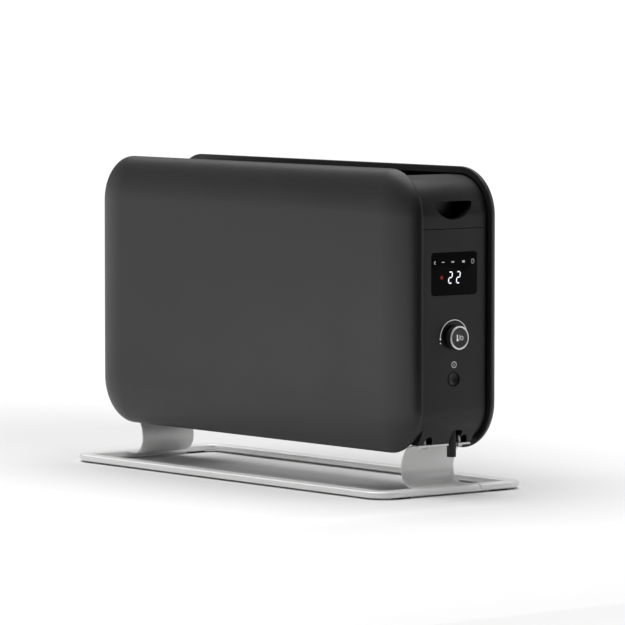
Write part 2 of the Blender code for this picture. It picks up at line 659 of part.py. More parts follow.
def make_rocker():
    """Round rocker with a dished face; its edge is part of a ball, so it tilts inside its sleeve."""
    front = CAP_X + SWITCH_PROUD
    inner = SWITCH_RADIUS - SWITCH_WALL
    pivot_x = front - ROCKER_HALF - 1.2 * MM
    case = add_turned("switch_case",
                      [(inner, SWITCH_DEPTH), (SWITCH_RADIUS - 0.3 * MM, SWITCH_DEPTH),
                       (SWITCH_RADIUS, SWITCH_DEPTH - 0.3 * MM), (SWITCH_RADIUS, 0), (0, 0),
                       (0, 1.5 * MM), (inner, 1.5 * MM)],
                      (front - SWITCH_DEPTH, 0, ROCKER_Z), "X", BLACK_PLASTIC, 32, closed=True)
    pin_way = add_cylinder("pivot_opening", PIVOT_RADIUS + GAP, 2 * SWITCH_RADIUS + 4 * MM,
                           (pivot_x, -SWITCH_RADIUS - 2 * MM, ROCKER_Z), "Y", None, 12)
    boolean(case, pin_way)
    ball = inner - ROCKER_CLEAR
    profile = []
    dish_steps = 4
    for step in range(dish_steps + 1):
        reach = step / dish_steps
        rim = math.sqrt(ball ** 2 - ROCKER_HALF ** 2)
        profile.append((rim * reach, ROCKER_HALF - 1.6 * MM * (1 - reach ** 2)))
    for step in range(1, 7):
        height = ROCKER_HALF * (1 - 2 * step / 6)
        profile.append((math.sqrt(ball ** 2 - height ** 2), height))
    profile.append((0, -ROCKER_HALF))
    rocker = add_turned("power_rocker", profile, (pivot_x, 0, ROCKER_Z), "X", BLACK_PLASTIC, 28)
    rocker.rotation_euler = (0, math.pi / 2 - math.radians(ROCKER_TILT), 0)
    pin = add_cylinder("pivot_pin", PIVOT_RADIUS, 2 * SWITCH_RADIUS - 0.6 * MM,
                       (pivot_x, -SWITCH_RADIUS + 0.3 * MM, ROCKER_Z), "Y", None, 12)
    boolean(rocker, pin, "UNION")


# ---------------------------------------------------------------- radiator core

def channel_prism(name, x, shrink):
    """Oil channel between the two bosses of a fin, or its inside when shrink is the wall."""
    half_width = CHANNEL_HALF_WIDTH - shrink
    half_thickness = CHANNEL_THICKNESS / 2 - shrink
    mid_z = (LOW_BOSS_Z + HIGH_BOSS_Z) / 2
    outline = [(y, mid_z + z) for y, z in rounded_rectangle(
        2 * half_width, HIGH_BOSS_Z - LOW_BOSS_Z, half_width - MM, 3)]
    return add_prism(name, outline, x - half_thickness, x + half_thickness, "YZ", None)


def make_fin(index):
    """Pressed fin: a thin plate, a raised oil channel and two bosses that meet the next fin.

    The oil space runs through the channel and along the bosses. It is closed at both ends of
    the core, apart from the low bore at the right end, which takes the heating element.
    """
    x = -CORE_HALF + (index + 0.5) * FIN_PITCH
    mid_z = (FIN_BOTTOM + FIN_TOP) / 2
    plate = [(y, mid_z + z) for y, z in
             rounded_rectangle(2 * FIN_HALF_WIDTH, FIN_TOP - FIN_BOTTOM, FIN_CORNER, 3)]
    name = "radiator_fin_%d" % (index + 1)
    fin = add_prism(name, plate, x - FIN_SHEET / 2, x + FIN_SHEET / 2, "YZ", CORE_PAINT)
    boolean(fin, channel_prism(name + "_channel", x, 0), "UNION")
    length = FIN_PITCH - GAP
    first, last = index == 0, index == FIN_COUNT - 1
    for label, z in (("low", LOW_BOSS_Z), ("high", HIGH_BOSS_Z)):
        boss = add_cylinder(name + "_boss_" + label, BOSS_RADIUS, length,
                            (x - length / 2, 0, z), "X", None, 20)
        boolean(fin, boss, "UNION")
    boolean(fin, channel_prism(name + "_oil_space", x, CORE_WALL))
    for label, z in (("low", LOW_BOSS_Z), ("high", HIGH_BOSS_Z)):
        start = x - length / 2 + (END_WALL if first else -END_WALL)
        end = x + length / 2 + (-END_WALL if last and label == "high" else END_WALL)
        bore = add_cylinder(name + "_bore_" + label, BOSS_RADIUS - CORE_WALL, end - start,
                            (start, 0, z), "X", None, 20)
        boolean(fin, bore)
    return fin


def curve_tube(name, points, radius, finish):
    """Round rod along points, made a mesh with welded ends."""
    curve = bpy.data.curves.new(name, "CURVE")
    curve.dimensions = "3D"
    curve.bevel_depth = radius
    curve.bevel_resolution = 2
    curve.use_fill_caps = True
    spline = curve.splines.new("POLY")
    spline.points.add(len(points) - 1)
    for point, place in zip(spline.points, points):
        point.co = (*place, 1)
    guide = bpy.data.objects.new(name + "_guide", curve)
    guide.parent = CENTRE
    CUTTERS.objects.link(guide)
    bpy.context.view_layer.update()
    evaluated = guide.evaluated_get(bpy.context.evaluated_depsgraph_get())
    mesh = bpy.data.meshes.new_from_object(evaluated)
    bpy.data.objects.remove(guide, do_unlink=True)
    bm = bmesh.new()
    bm.from_mesh(mesh)
    bmesh.ops.remove_doubles(bm, verts=bm.verts, dist=0.00001)
    bpy.data.meshes.remove(mesh)
    return add_mesh_object(name, bm, finish)


def make_heating_element():
    """Hairpin rod inside the fins' lower bores, and the flange that closes them."""
    end_x = CORE_HALF - 2 * GAP
    turn_x = end_x - ELEMENT_REACH
    points = [Vector((end_x, ELEMENT_HALF_GAP, LOW_BOSS_Z))]
    for step in range(9):
        angle = math.pi / 2 + math.pi * step / 8
        points.append(Vector((turn_x + ELEMENT_HALF_GAP * math.cos(angle),
                              ELEMENT_HALF_GAP * math.sin(angle), LOW_BOSS_Z)))
    points.append(Vector((end_x, -ELEMENT_HALF_GAP, LOW_BOSS_Z)))
    curve_tube("heating_element", points, ELEMENT_ROD, ZINC_STEEL)
    flange = add_cylinder("element_flange", FLANGE_RADIUS, FLANGE_SHEET,
                          (CORE_HALF, 0, LOW_BOSS_Z), "X", ZINC_STEEL, 6)
    for index, y in enumerate((-ELEMENT_HALF_GAP, ELEMENT_HALF_GAP)):
        blade = add_box("element_blade_%d" % (index + 1),
                        (CORE_HALF + FLANGE_SHEET - MM, y - 0.5 * MM, LOW_BOSS_Z - 3 * MM),
                        (CORE_HALF + FLANGE_SHEET + 10 * MM, y + 0.5 * MM, LOW_BOSS_Z + 3 * MM), None)
        boolean(flange, blade, "UNION")


def make_bracket(name, side):
    """Bent sheet between the core, a housing and both cover panels.

    A channel reaches the covers. The middle web is pressed a little thinner than the channel,
    and a shelf at its bottom stands on the housing's floor.
    """
    top = GRILLE_TOP - GRILLE_SHEET - GAP
    floor_z = CAP_BOTTOM + CAP_WALL + GAP
    ear_y = COVER_INNER_Y - GAP
    tab_x = BRACKET_OUT_X - BRACKET_TAB
    half = [(tab_x, ear_y), (BRACKET_OUT_X, ear_y), (BRACKET_OUT_X, -ear_y), (tab_x, -ear_y),
            (tab_x, -ear_y + BRACKET_SHEET), (BRACKET_IN_X, -ear_y + BRACKET_SHEET),
            (BRACKET_IN_X, ear_y - BRACKET_SHEET), (tab_x, ear_y - BRACKET_SHEET)]
    bracket = add_prism(name, mirrored(side, half), BRACKET_EAR_BOTTOM, BRACKET_EAR_TOP, "XY", ZINC_STEEL)
    low, high = cross_span(side, BRACKET_IN_X + WEB_STEP, BRACKET_OUT_X - WEB_STEP)
    web = add_box(name + "_web", (low, -BRACKET_HALF_WIDTH, floor_z + WEB_STEP),
                  (high, BRACKET_HALF_WIDTH, top), None)
    boolean(bracket, web, "UNION")
    low, high = cross_span(side, BRACKET_IN_X, BRACKET_OUT_X + BRACKET_FOOT)
    shelf = add_box(name + "_shelf", (low, -BRACKET_HALF_WIDTH - WEB_STEP, floor_z),
                    (high, BRACKET_HALF_WIDTH + WEB_STEP, floor_z + BRACKET_SHEET), None)
    boolean(bracket, shelf, "UNION")
    hole = add_cylinder(name + "_hole", FLANGE_RADIUS + 2 * MM, 12 * MM,
                        (side * BRACKET_OUT_X - 6 * MM, 0, LOW_BOSS_Z), "X", None, 24)
    boolean(bracket, hole)
    return bracket


def make_grille():
    half = BRACKET_OUT_X
    grille = add_box("top_grille", (-half, -GRILLE_HALF_WIDTH, GRILLE_TOP - GRILLE_SHEET),
                     (half, GRILLE_HALF_WIDTH, GRILLE_TOP), CORE_PAINT)
    pitch = 2 * half / GRILLE_SLOTS
    for index in range(GRILLE_SLOTS):
        x = -half + (index + 0.5) * pitch
        slot = add_box("grille_slot_%d" % (index + 1),
                       (x - SLOT_WIDTH / 2, -SLOT_HALF_LENGTH, GRILLE_TOP - 5 * MM),
                       (x + SLOT_WIDTH / 2, SLOT_HALF_LENGTH, GRILLE_TOP + 5 * MM), None)
        boolean(grille, slot)
    return grille


# ---------------------------------------------------------------- floor frame and feet

def frame_ring(inset, z):
    outline = rounded_rectangle(FRAME_LENGTH - 2 * inset, FRAME_WIDTH - 2 * inset, FRAME_CORNER - inset, 6)
    return [Vector((a, b, z)) for a, b in outline]


def press_outline():
    """What a foot's wrapped end and its gap take from a rail, seen from the side."""
    bend_x = FRAME_LENGTH / 2 - FOOT_SHEET - RAIL_ROUND
    bend_z = RAIL_TOP - FOOT_SHEET - RAIL_ROUND
    radius = RAIL_ROUND - GAP
    above = 2 * RAIL_TOP
    points = [(bend_x + radius, 0)]
    for step in range(4):
        turn = math.pi / 2 * step / 3
        points.append((bend_x + radius * math.cos(turn), bend_z + radius * math.sin(turn)))
    points.append((bend_x - RAIL_WIDTH, bend_z + radius))
    points.append((bend_x - RAIL_WIDTH, above))
    points.append((bend_x + RAIL_WIDTH, above))
    points.append((bend_x + RAIL_WIDTH, 0))
    return points


def make_floor_frame():
    """Flattened tube bent to a rounded rectangle, pressed down where the feet wrap over it."""
    section = rounded_rectangle(RAIL_WIDTH, RAIL_TOP - RAIL_BOTTOM, RAIL_ROUND, 2)
    mid_z = (RAIL_TOP + RAIL_BOTTOM) / 2
    bm = bmesh.new()
    loft(bm, [frame_ring(RAIL_WIDTH / 2 - a, mid_z + b) for a, b in section], closed=True)
    frame = add_mesh_object("floor_frame", bm, SATIN_SILVER)
    for label, side in (("right", 1), ("left", -1)):
        press = add_prism("rail_press_" + label, mirrored(side, press_outline()),
                          -FOOT_WIDTH / 2 - GAP, FOOT_WIDTH / 2 + GAP, "XZ", None)
        boolean(frame, press)
    return frame


def foot_centreline():
    """Middle of the sheet: flat arm, quarter oval in to the waist, quarter oval out, saddle, bend down."""
    saddle_end = FRAME_LENGTH / 2 - FOOT_SHEET / 2
    bend = RAIL_ROUND + FOOT_SHEET / 2
    points = [(FOOT_ARM_END, ARM_Z)]
    steps = 7
    for step in range(steps + 1):
        turn = math.pi / 2 * step / steps
        points.append((FOOT_WAIST_X + FOOT_TOP_RUN * (1 - math.sin(turn)),
                       FOOT_WAIST_Z + (ARM_Z - FOOT_WAIST_Z) * math.cos(turn)))
    for step in range(1, steps + 1):
        turn = math.pi / 2 * step / steps
        points.append((FOOT_WAIST_X + FOOT_LOW_RUN * (1 - math.cos(turn)),
                       FOOT_WAIST_Z - (FOOT_WAIST_Z - SADDLE_Z) * math.sin(turn)))
    for step in range(4):
        turn = math.pi / 2 * step / 3
        points.append((saddle_end - bend + bend * math.sin(turn), SADDLE_Z - bend + bend * math.cos(turn)))
    points.append((saddle_end, SADDLE_DROP))
    return points


def make_foot(name, side):
    half = FOOT_WIDTH / 2
    bm = bmesh.new()
    rows = [[bm.verts.new((side * x, y, z)) for y in (-half, half)] for x, z in foot_centreline()]
    for row_a, row_b in zip(rows, rows[1:]):
        bm.faces.new((row_a[0], row_a[1], row_b[1], row_b[0]))
    foot = add_mesh_object(name, bm, SATIN_SILVER)
    solid = foot.modifiers.new("sheet", "SOLIDIFY")
    solid.thickness = FOOT_SHEET
    solid.offset = 0
    solid.use_even_offset = True
    for index, y in enumerate((-FOOT_SCREW_Y, FOOT_SCREW_Y)):
        hole = add_cylinder(name + "_hole_%d" % (index + 1), FOOT_SCREW_RADIUS + GAP, 10 * MM,
                            (side * FOOT_SCREW_X, y, ARM_Z - 5 * MM), "Z", None, 12)
        boolean(foot, hole)
        head_top = ARM_Z - FOOT_SHEET / 2 - GAP
        reach = CAP_BOTTOM + FOOT_SCREW_REACH - head_top
        profile = [(0, reach), (FOOT_SCREW_RADIUS, reach), (FOOT_SCREW_RADIUS, 0), (FOOT_SCREW_HEAD, 0),
                   (FOOT_SCREW_HEAD, -1.6 * MM), (FOOT_SCREW_HEAD - 1.2 * MM, -2.8 * MM), (0, -2.8 * MM)]
        add_turned(name.replace("foot_", "foot_screw_") + "_%d" % (index + 1), profile,
                   (side * FOOT_SCREW_X, y, head_top), "Z", ZINC_STEEL, 14)
    if side > 0:
        notch_half = OUTLET_POCKET / 2
        notch = add_box("outlet_notch", (OUTLET_X - notch_half, OUTLET_Y - notch_half, ARM_Z - 5 * MM),
                        (FOOT_ARM_END + 5 * MM, OUTLET_Y + notch_half, ARM_Z + 5 * MM), None)
        boolean(foot, notch)
    return foot


def make_pads():
    pad_x = FRAME_LENGTH / 2 - RAIL_WIDTH / 2
    places = [(x, y) for x in (-pad_x, pad_x) for y in (-PAD_Y, PAD_Y)]
    for index, (x, y) in enumerate(places):
        add_box("rubber_pad_%d" % (index + 1), (x - PAD_WIDTH / 2, y - PAD_LENGTH / 2, 0),
                (x + PAD_WIDTH / 2, y + PAD_LENGTH / 2, RAIL_BOTTOM - GAP), BLACK_RUBBER)


# ---------------------------------------------------------------- electrical pieces

def make_cord_outlet():
    """Tube that hangs from the scoop's ceiling, with a flange inside the housing."""
    seat = SCOOP_TOP + CAP_WALL + GAP
    top = seat + 3 * MM
    profile = [(OUTLET_BORE, top), (OUTLET_FLANGE, top), (OUTLET_FLANGE, seat), (OUTLET_RADIUS, seat),
               (OUTLET_RADIUS, OUTLET_BOTTOM), (OUTLET_BORE, OUTLET_BOTTOM)]
    add_turned("cord_outlet", profile, (OUTLET_X, OUTLET_Y, 0), "Z", BLACK_RUBBER, 24, closed=True)


def make_small_parts():
    wall = BRACKET_OUT_X + GAP
    add_turned("thermal_cutout",
               [(0, 8 * MM), (CUTOUT_RADIUS * 0.6, 8 * MM), (CUTOUT_RADIUS * 0.6, 4 * MM),
                (CUTOUT_RADIUS, 4 * MM), (CUTOUT_RADIUS, 0), (0, 0)],
               (wall, -25 * MM, CUTOUT_Z), "X", ZINC_STEEL, 16)
    add_box("terminal_block", (wall, -22 * MM, TERMINAL_Z), (wall + 14 * MM, 6 * MM, TERMINAL_Z + 18 * MM),
            WHITE_PLASTIC, bevel=1 * MM)


def make_tilt_switch():
    """Tip-over switch: an open U-shaped case and a weight that hangs from a pin along X."""
    back = BRACKET_OUT_X + GAP
    depth = 18 * MM
    wall = 1.5 * MM
    case_half = 16 * MM
    case_low = TILT_Z - TILT_ARM - TILT_WEIGHT - 4 * MM
    case_high = TILT_Z + 6 * MM
    case = add_box("tilt_switch_case", (back, TILT_Y - case_half, case_low),
                   (back + depth, TILT_Y + case_half, case_high), WHITE_PLASTIC)
    room = add_box("tilt_switch_room", (back + wall, TILT_Y - case_half + wall, case_low - 5 * MM),
                   (back + depth - wall, TILT_Y + case_half - wall, case_high - wall), None)
    boolean(case, room)
    pin_way = add_cylinder("tilt_pin_opening", PIVOT_RADIUS + GAP, depth + 4 * MM,
                           (back + wall / 2, TILT_Y, TILT_Z), "X", None, 12)
    boolean(case, pin_way)
    middle = back + depth / 2
    weight = add_cylinder("tilt_pendulum", TILT_WEIGHT, 8 * MM,
                          (middle - 4 * MM, TILT_Y, TILT_Z - TILT_ARM), "X", ZINC_STEEL, 16)
    weight.data.transform(weight.rotation_euler.to_matrix().to_4x4())
    shift = Vector(weight.location) - Vector((middle, TILT_Y, TILT_Z))
    for vertex in weight.data.vertices:
        vertex.co += shift
    weight.rotation_euler = (0, 0, 0)
    weight.location = (middle, TILT_Y, TILT_Z)
    arm = add_box("tilt_arm", (middle - 1.5 * MM, TILT_Y - 1.5 * MM, TILT_Z - TILT_ARM),
                  (middle + 1.5 * MM, TILT_Y + 1.5 * MM, TILT_Z), None)
    boolean(weight, arm, "UNION")
    pin = add_cylinder("tilt_pin", PIVOT_RADIUS, depth - 2 * GAP - wall / 2,
                       (back + wall / 2 + GAP, TILT_Y, TILT_Z), "X", None, 12)
    boolean(weight, pin, "UNION")


# ---------------------------------------------------------------- assembly

make_cover("front_panel", -1)
make_cover("rear_panel", 1)
make_control_housing()
make_housing("left_housing", -1)
make_handle_cover("handle_cover_right", 1)
make_handle_cover("handle_cover_left", -1)
make_display()
make_control_board()
make_dial()
make_rocker()
for fin_index in range(FIN_COUNT):
    make_fin(fin_index)
make_heating_element()
make_bracket("core_bracket_right", 1)
make_bracket("core_bracket_left", -1)
make_grille()
make_floor_frame()
make_foot("foot_right", 1)
make_foot("foot_left", -1)
make_pads()
make_cord_outlet()
make_small_parts()
make_tilt_switch()
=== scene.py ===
"""Looks for an oil filled radiator heater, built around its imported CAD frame.

The front faces -Y, the control end faces +X and the floor is at z = 0. Lengths are in metres.
"""
import math

import bmesh
import bpy
import numpy as np
from mathutils import Matrix, Vector


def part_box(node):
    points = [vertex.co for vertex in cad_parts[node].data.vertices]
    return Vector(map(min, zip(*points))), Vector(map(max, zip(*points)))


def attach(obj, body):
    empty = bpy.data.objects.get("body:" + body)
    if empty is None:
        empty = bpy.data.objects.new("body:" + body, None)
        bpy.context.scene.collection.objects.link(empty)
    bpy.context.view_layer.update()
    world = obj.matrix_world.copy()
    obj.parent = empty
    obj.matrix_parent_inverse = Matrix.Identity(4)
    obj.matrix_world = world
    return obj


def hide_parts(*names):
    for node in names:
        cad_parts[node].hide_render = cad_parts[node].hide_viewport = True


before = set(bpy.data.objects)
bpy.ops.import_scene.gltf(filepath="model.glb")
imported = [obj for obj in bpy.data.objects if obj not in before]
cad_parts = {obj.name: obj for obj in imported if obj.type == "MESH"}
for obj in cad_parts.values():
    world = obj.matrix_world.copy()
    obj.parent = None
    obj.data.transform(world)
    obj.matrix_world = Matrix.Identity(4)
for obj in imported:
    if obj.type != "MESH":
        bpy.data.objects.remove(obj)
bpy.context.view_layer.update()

bl_info = {
    "name": "Oil Filled Radiator Heater",
    "version": (1, 0, 0),
    "blender": (4, 5, 0),
    "location": "View3D > Sidebar > Heater",
    "description": "Builds the covers, housings, controls, feet and studio of a radiator heater",
    "category": "Object",
}

MM = 0.001


def box(node):
    """Lowest and highest corner of a CAD node, as two arrays."""
    low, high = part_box(node)
    return np.array(low), np.array(high)


COVER_LOW, COVER_HIGH = box("front_panel")
_, HOUSING_HIGH = box("control_housing")
HANDLE_LOW, HANDLE_HIGH = box("handle_cover_right")
WINDOW_LOW, WINDOW_HIGH = box("display_window")
DIAL_LOW, DIAL_HIGH = box("dial_body")
RING_LOW, RING_HIGH = box("dial_ring")
DIAL_CAP_LOW, DIAL_CAP_HIGH = box("dial_cap")
SWITCH_LOW, SWITCH_HIGH = box("switch_case")
FRAME_LOW, FRAME_HIGH = box("floor_frame")
_, FOOT_HIGH = box("foot_right")
OUTLET_LOW, OUTLET_HIGH = box("cord_outlet")
GRILLE_LOW, GRILLE_HIGH = box("top_grille")

MID_X = (COVER_LOW[0] + COVER_HIGH[0]) / 2
FACE_X = HOUSING_HIGH[0]
RIM_Y = -COVER_HIGH[1]
DIAL_Z = (DIAL_LOW[2] + DIAL_HIGH[2]) / 2
SWITCH_Z = (SWITCH_LOW[2] + SWITCH_HIGH[2]) / 2
WINDOW_Z = (WINDOW_LOW[2] + WINDOW_HIGH[2]) / 2
HOUSING_HALF_Y = HOUSING_HIGH[1]
GAP = 0.3 * MM

# Shapes that the CAD boxes don't give
PILLOW_EDGE = 60 * MM
COVER_CORNER = 64 * MM
COVER_LIP = 9 * MM
LIP_BEND = 1.5 * MM
COVER_SHEET = 1 * MM
CAP_CORNER = 54 * MM
CAP_LOW_CORNER = 49 * MM
CAP_EDGE = 3 * MM
CAP_WALL = 2.5 * MM
RECESS_TOP = HANDLE_HIGH[2] - 32 * MM
RECESS_HALF_WIDTH = 32.5 * MM
RECESS_HEIGHT = 24 * MM
RECESS_DEPTH = 30 * MM
RECESS_EASE = 2.2 * MM
RAIL_WIDTH = 22 * MM
RAIL_ROUND = 3.6 * MM
FRAME_CORNER = 32 * MM
FOOT_SHEET = 2.5 * MM


# ---------------------------------------------------------------- settings

class HeaterLooks(bpy.types.PropertyGroup):
    """Colours and sizes that change how the heater looks."""

    cover_colour: bpy.props.FloatVectorProperty(
        name="Cover paint", description="Colour of the painted cover panels",
        subtype="COLOR", size=3, min=0, max=1, default=(0.0165, 0.0165, 0.017))
    plastic_colour: bpy.props.FloatVectorProperty(
        name="Housing plastic", description="Colour of the end housings and the handle covers",
        subtype="COLOR", size=3, min=0, max=1, default=(0.0065, 0.0065, 0.0068))
    silver_colour: bpy.props.FloatVectorProperty(
        name="Floor frame", description="Colour of the floor frame and the feet",
        subtype="COLOR", size=3, min=0, max=1, default=(0.92, 0.92, 0.915))
    print_colour: bpy.props.FloatVectorProperty(
        name="Printing", description="Colour of the printed marks",
        subtype="COLOR", size=3, min=0, max=1, default=(0.86, 0.86, 0.86))
    glow: bpy.props.FloatProperty(
        name="Display glow", description="Brightness of the display's figures", default=1.0, min=0, max=10)
    temperature: bpy.props.IntProperty(
        name="Temperature", description="Number on the display, in degrees", default=22, min=10, max=99)
    wear: bpy.props.FloatProperty(
        name="Edge wear", description="How much the edges have been rubbed", default=0.15, min=0, max=1)
    dust: bpy.props.FloatProperty(
        name="Dust", description="How much dust lies on what faces up", default=0.25, min=0, max=1)
    cover_softness: bpy.props.FloatProperty(
        name="Cover border", description="Width of the covers' curved border",
        subtype="DISTANCE", unit="LENGTH", default=PILLOW_EDGE, min=10 * MM, max=COVER_CORNER)
    print_height: bpy.props.FloatProperty(
        name="Print height", description="How far printed marks stand off their surface",
        subtype="DISTANCE", unit="LENGTH", default=0.06 * MM, min=0.01 * MM, max=0.5 * MM)


def looks():
    return bpy.context.scene.heater_looks


# ---------------------------------------------------------------- outlines and profiles

def rounded_path(width, height, radius, arc=16, straight=6):
    """Closed rectangle path with its outward normals.

    Each corner is a quarter circle: its centre plus the radius times (cos, sin) of the turn. The
    sides are evenly spaced points between one corner's end and the next one's start.
    """
    turn = np.linspace(0, math.pi / 2, arc + 1)[None, :] + math.pi / 2 * np.arange(4)[:, None]
    normal = np.stack([np.cos(turn), np.sin(turn)], axis=-1)
    signs = np.array([(1, 1), (-1, 1), (-1, -1), (1, -1)])
    centres = signs * (np.array([width, height]) / 2 - radius)
    corners = centres[:, None, :] + radius * normal
    share = np.linspace(0, 1, straight + 1)[1:-1][None, :, None]
    start, end = corners[:, -1:, :], np.roll(corners, -1, axis=0)[:, :1, :]
    sides = start * (1 - share) + end * share
    side_normals = np.repeat(normal[:, -1:, :], straight - 1, axis=1)
    path = np.concatenate([corners, sides], axis=1).reshape(-1, 2)
    normals = np.concatenate([normal, side_normals], axis=1).reshape(-1, 2)
    return path, normals


def softened(points, radius, steps=4, closed=False):
    """Profile with eased corners.

    Each corner becomes the parabola (1-t)^2 A + 2t(1-t) P + t^2 B between two points, A and B, that lie
    the radius away from the corner P, or 45% of the side where that is shorter.
    """
    points = np.asarray(points, dtype=float)
    before, after = np.roll(points, 1, axis=0), np.roll(points, -1, axis=0)
    share = np.linspace(0, 1, steps + 1)[None, :, None]

    def towards(other):
        leg = other - points
        length = np.linalg.norm(leg, axis=1, keepdims=True)
        return points + leg * np.minimum(radius / np.maximum(length, 1e-9), 0.45)

    a, b = towards(before)[:, None], towards(after)[:, None]
    corners = (1 - share) ** 2 * a + 2 * share * (1 - share) * points[:, None] + share ** 2 * b
    if closed:
        return corners.reshape(-1, 2)
    return np.concatenate([points[:1], corners[1:-1].reshape(-1, 2), points[-1:]])


def arc_points(centre, radius, start, end, steps):
    """Points at centre + radius (cos a, sin a), for a from start to end in degrees."""
    angle = np.radians(np.linspace(start, end, steps + 1))
    return np.asarray(centre) + np.stack([np.cos(angle), np.sin(angle)], axis=1) * np.asarray(radius)


def circle(centre, radius, steps=24):
    """Closed round outline."""
    return arc_points(centre, radius, 0, 360, steps)[:-1]


def path_normals(path, closed=False):
    """Unit normals, to the right of the way along a flat path."""
    if closed:
        along = np.roll(path, -1, axis=0) - np.roll(path, 1, axis=0)
    else:
        along = np.gradient(path, axis=0)
    along = along / np.linalg.norm(along, axis=1, keepdims=True)
    return np.stack([along[:, 1], -along[:, 0]], axis=1)


# ---------------------------------------------------------------- surfaces

def grid_faces(rows, columns, wrap_rows=False, wrap_columns=False):
    """Quads between neighbours of a grid whose points are numbered row by row."""
    row = np.arange(rows if wrap_rows else rows - 1)[:, None]
    column = np.arange(columns if wrap_columns else columns - 1)[None, :]
    next_row, next_column = (row + 1) % rows, (column + 1) % columns
    corners = [row * columns + column, row * columns + next_column,
               next_row * columns + next_column, next_row * columns + column]
    return np.stack([np.broadcast_to(c, (row.size, column.size)).ravel() for c in corners], axis=1)


def surface(grid, wrap_rows=False, wrap_columns=False, capped=False):
    """(points, faces) of a grid of points; capped closes the first and last row with one face each."""
    rows, columns = grid.shape[:2]
    faces = list(grid_faces(rows, columns, wrap_rows, wrap_columns))
    if capped:
        faces += [np.arange(columns)[::-1], np.arange((rows - 1) * columns, rows * columns)]
    return grid.reshape(-1, 3), faces


def ringed(path, normals, inset, height, plane, origin=(0, 0, 0)):
    """Rings path - inset * normal at each height: a profile (inset, height) carried round a flat path."""
    flat = path[None] - np.asarray(inset)[:, None, None] * normals[None]
    level = np.broadcast_to(np.asarray(height)[:, None], flat.shape[:2])
    axes = {"XZ": (flat[..., 0], level, flat[..., 1]), "YZ": (level, flat[..., 0], flat[..., 1]),
            "XY": (flat[..., 0], flat[..., 1], level)}[plane]
    return np.stack(axes, axis=-1) + np.asarray(origin)


def revolved(radius, height, centre, axis="X"):
    """Grid of points (radius cos a, radius sin a) across the axis, and the height along it.

    The angle a runs once round over the columns; the radius may differ from one angle to the next.
    """
    angle = np.arange(radius.shape[1]) * 2 * math.pi / radius.shape[1]
    across, up = radius * np.cos(angle), radius * np.sin(angle)
    axes = {"X": (height, across, up), "Z": (across, up, height)}[axis]
    return np.stack(axes, axis=-1) + np.asarray(centre)


def turned(profile, centre, axis="X", steps=64, closed=False):
    """Surface of revolution of a profile (radius, height); a closed profile makes a hoop."""
    profile = np.asarray(profile)
    radius, height = (np.repeat(profile[:, i:i + 1], steps, axis=1) for i in (0, 1))
    return surface(revolved(radius, height, centre, axis), wrap_rows=closed, wrap_columns=True)


def prism(outline, low, high, plane, origin=(0, 0, 0), edge=0.0):
    """Flat outline carried from low to high, its edges drawn in along a quarter circle."""
    outline = np.asarray(outline, dtype=float)
    normals = path_normals(outline, closed=True)
    if edge:
        turn = np.linspace(0, math.pi / 2, 4)
        inset = edge * (1 - np.sin(turn))
        rise = edge * (1 - np.cos(turn))
        inset = np.concatenate([inset, inset[::-1]])
        height = np.concatenate([low + rise, high - rise[::-1]])
    else:
        inset, height = np.zeros(2), np.array([low, high])
    return surface(ringed(outline, normals, inset, height, plane, origin), wrap_columns=True, capped=True)


def block(low, high, edge=0.0):
    """Box with soft edges: a rounded rectangle carried up Z."""
    low, high = np.asarray(low), np.asarray(high)
    size, middle = high - low, (high + low) / 2
    path, _ = rounded_path(size[0], size[1], max(edge, 0.01 * MM), arc=4, straight=1)
    return prism(path, low[2], high[2], "XY", (middle[0], middle[1], 0), edge)


# ---------------------------------------------------------------- pieces

def new_piece(name, parts):
    """Mesh object of joined surfaces, with faces pointing outwards."""
    points = np.concatenate([p for p, _ in parts])
    starts = np.cumsum([0] + [len(p) for p, _ in parts])
    faces = [face + start for start, (_, part) in zip(starts, parts) for face in part]
    mesh = bpy.data.meshes.new(name)
    mesh.from_pydata(points.tolist(), [], faces)
    obj = bpy.data.objects.new(name, mesh)
    bpy.context.scene.collection.objects.link(obj)
    tidy_mesh(obj)
    return obj


def tidy_mesh(obj):
    """Merges doubles, drops faces with no area and turns every face outwards."""
    bm = bmesh.new()
    bm.from_mesh(obj.data)
    bmesh.ops.remove_doubles(bm, verts=bm.verts, dist=1e-6)
    bmesh.ops.dissolve_degenerate(bm, dist=1e-7, edges=bm.edges)
    bmesh.ops.recalc_face_normals(bm, faces=bm.faces)
    bm.to_mesh(obj.data)
    bm.free()


def carve(obj, *tools, operation="DIFFERENCE"):
    """Cuts objects or surfaces out of a piece, or adds them to it, and keeps the result as its mesh."""
    for tool in tools:
        if not isinstance(tool, bpy.types.Object):
            tool = new_piece("tool", [tool])
        change = obj.modifiers.new("carve", "BOOLEAN")
        change.operation = operation
        change.solver = "EXACT"
        change.object = tool
        graph = bpy.context.evaluated_depsgraph_get()
        result = bpy.data.meshes.new_from_object(obj.evaluated_get(graph))
        obj.modifiers.clear()
        obj.data = result
        bpy.data.objects.remove(tool)
    return obj


def bevelled(obj, width, segments=2, angle=40):
    """Rounds the sharp edges that carving left."""
    bevel = obj.modifiers.new("edge", "BEVEL")
    bevel.width = width
    bevel.segments = segments
    bevel.limit_method = "ANGLE"
    bevel.angle_limit = math.radians(angle)
    bevel.use_clamp_overlap = True
    bevel.harden_normals = False
    return obj


def finish_piece(obj, body, finish, nodes=(), angle=35):
    """Smooth shading, finish, body, and the CAD nodes that the piece stands for."""
    obj.data.shade_smooth()
    obj.data.set_sharp_from_angle(angle=math.radians(angle))
    obj.data.materials.clear()
    obj.data.materials.append(FINISHES[finish].material)
    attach(obj, body)
    if nodes:
        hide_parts(*nodes)
    return obj


# ---------------------------------------------------------------- shader groups

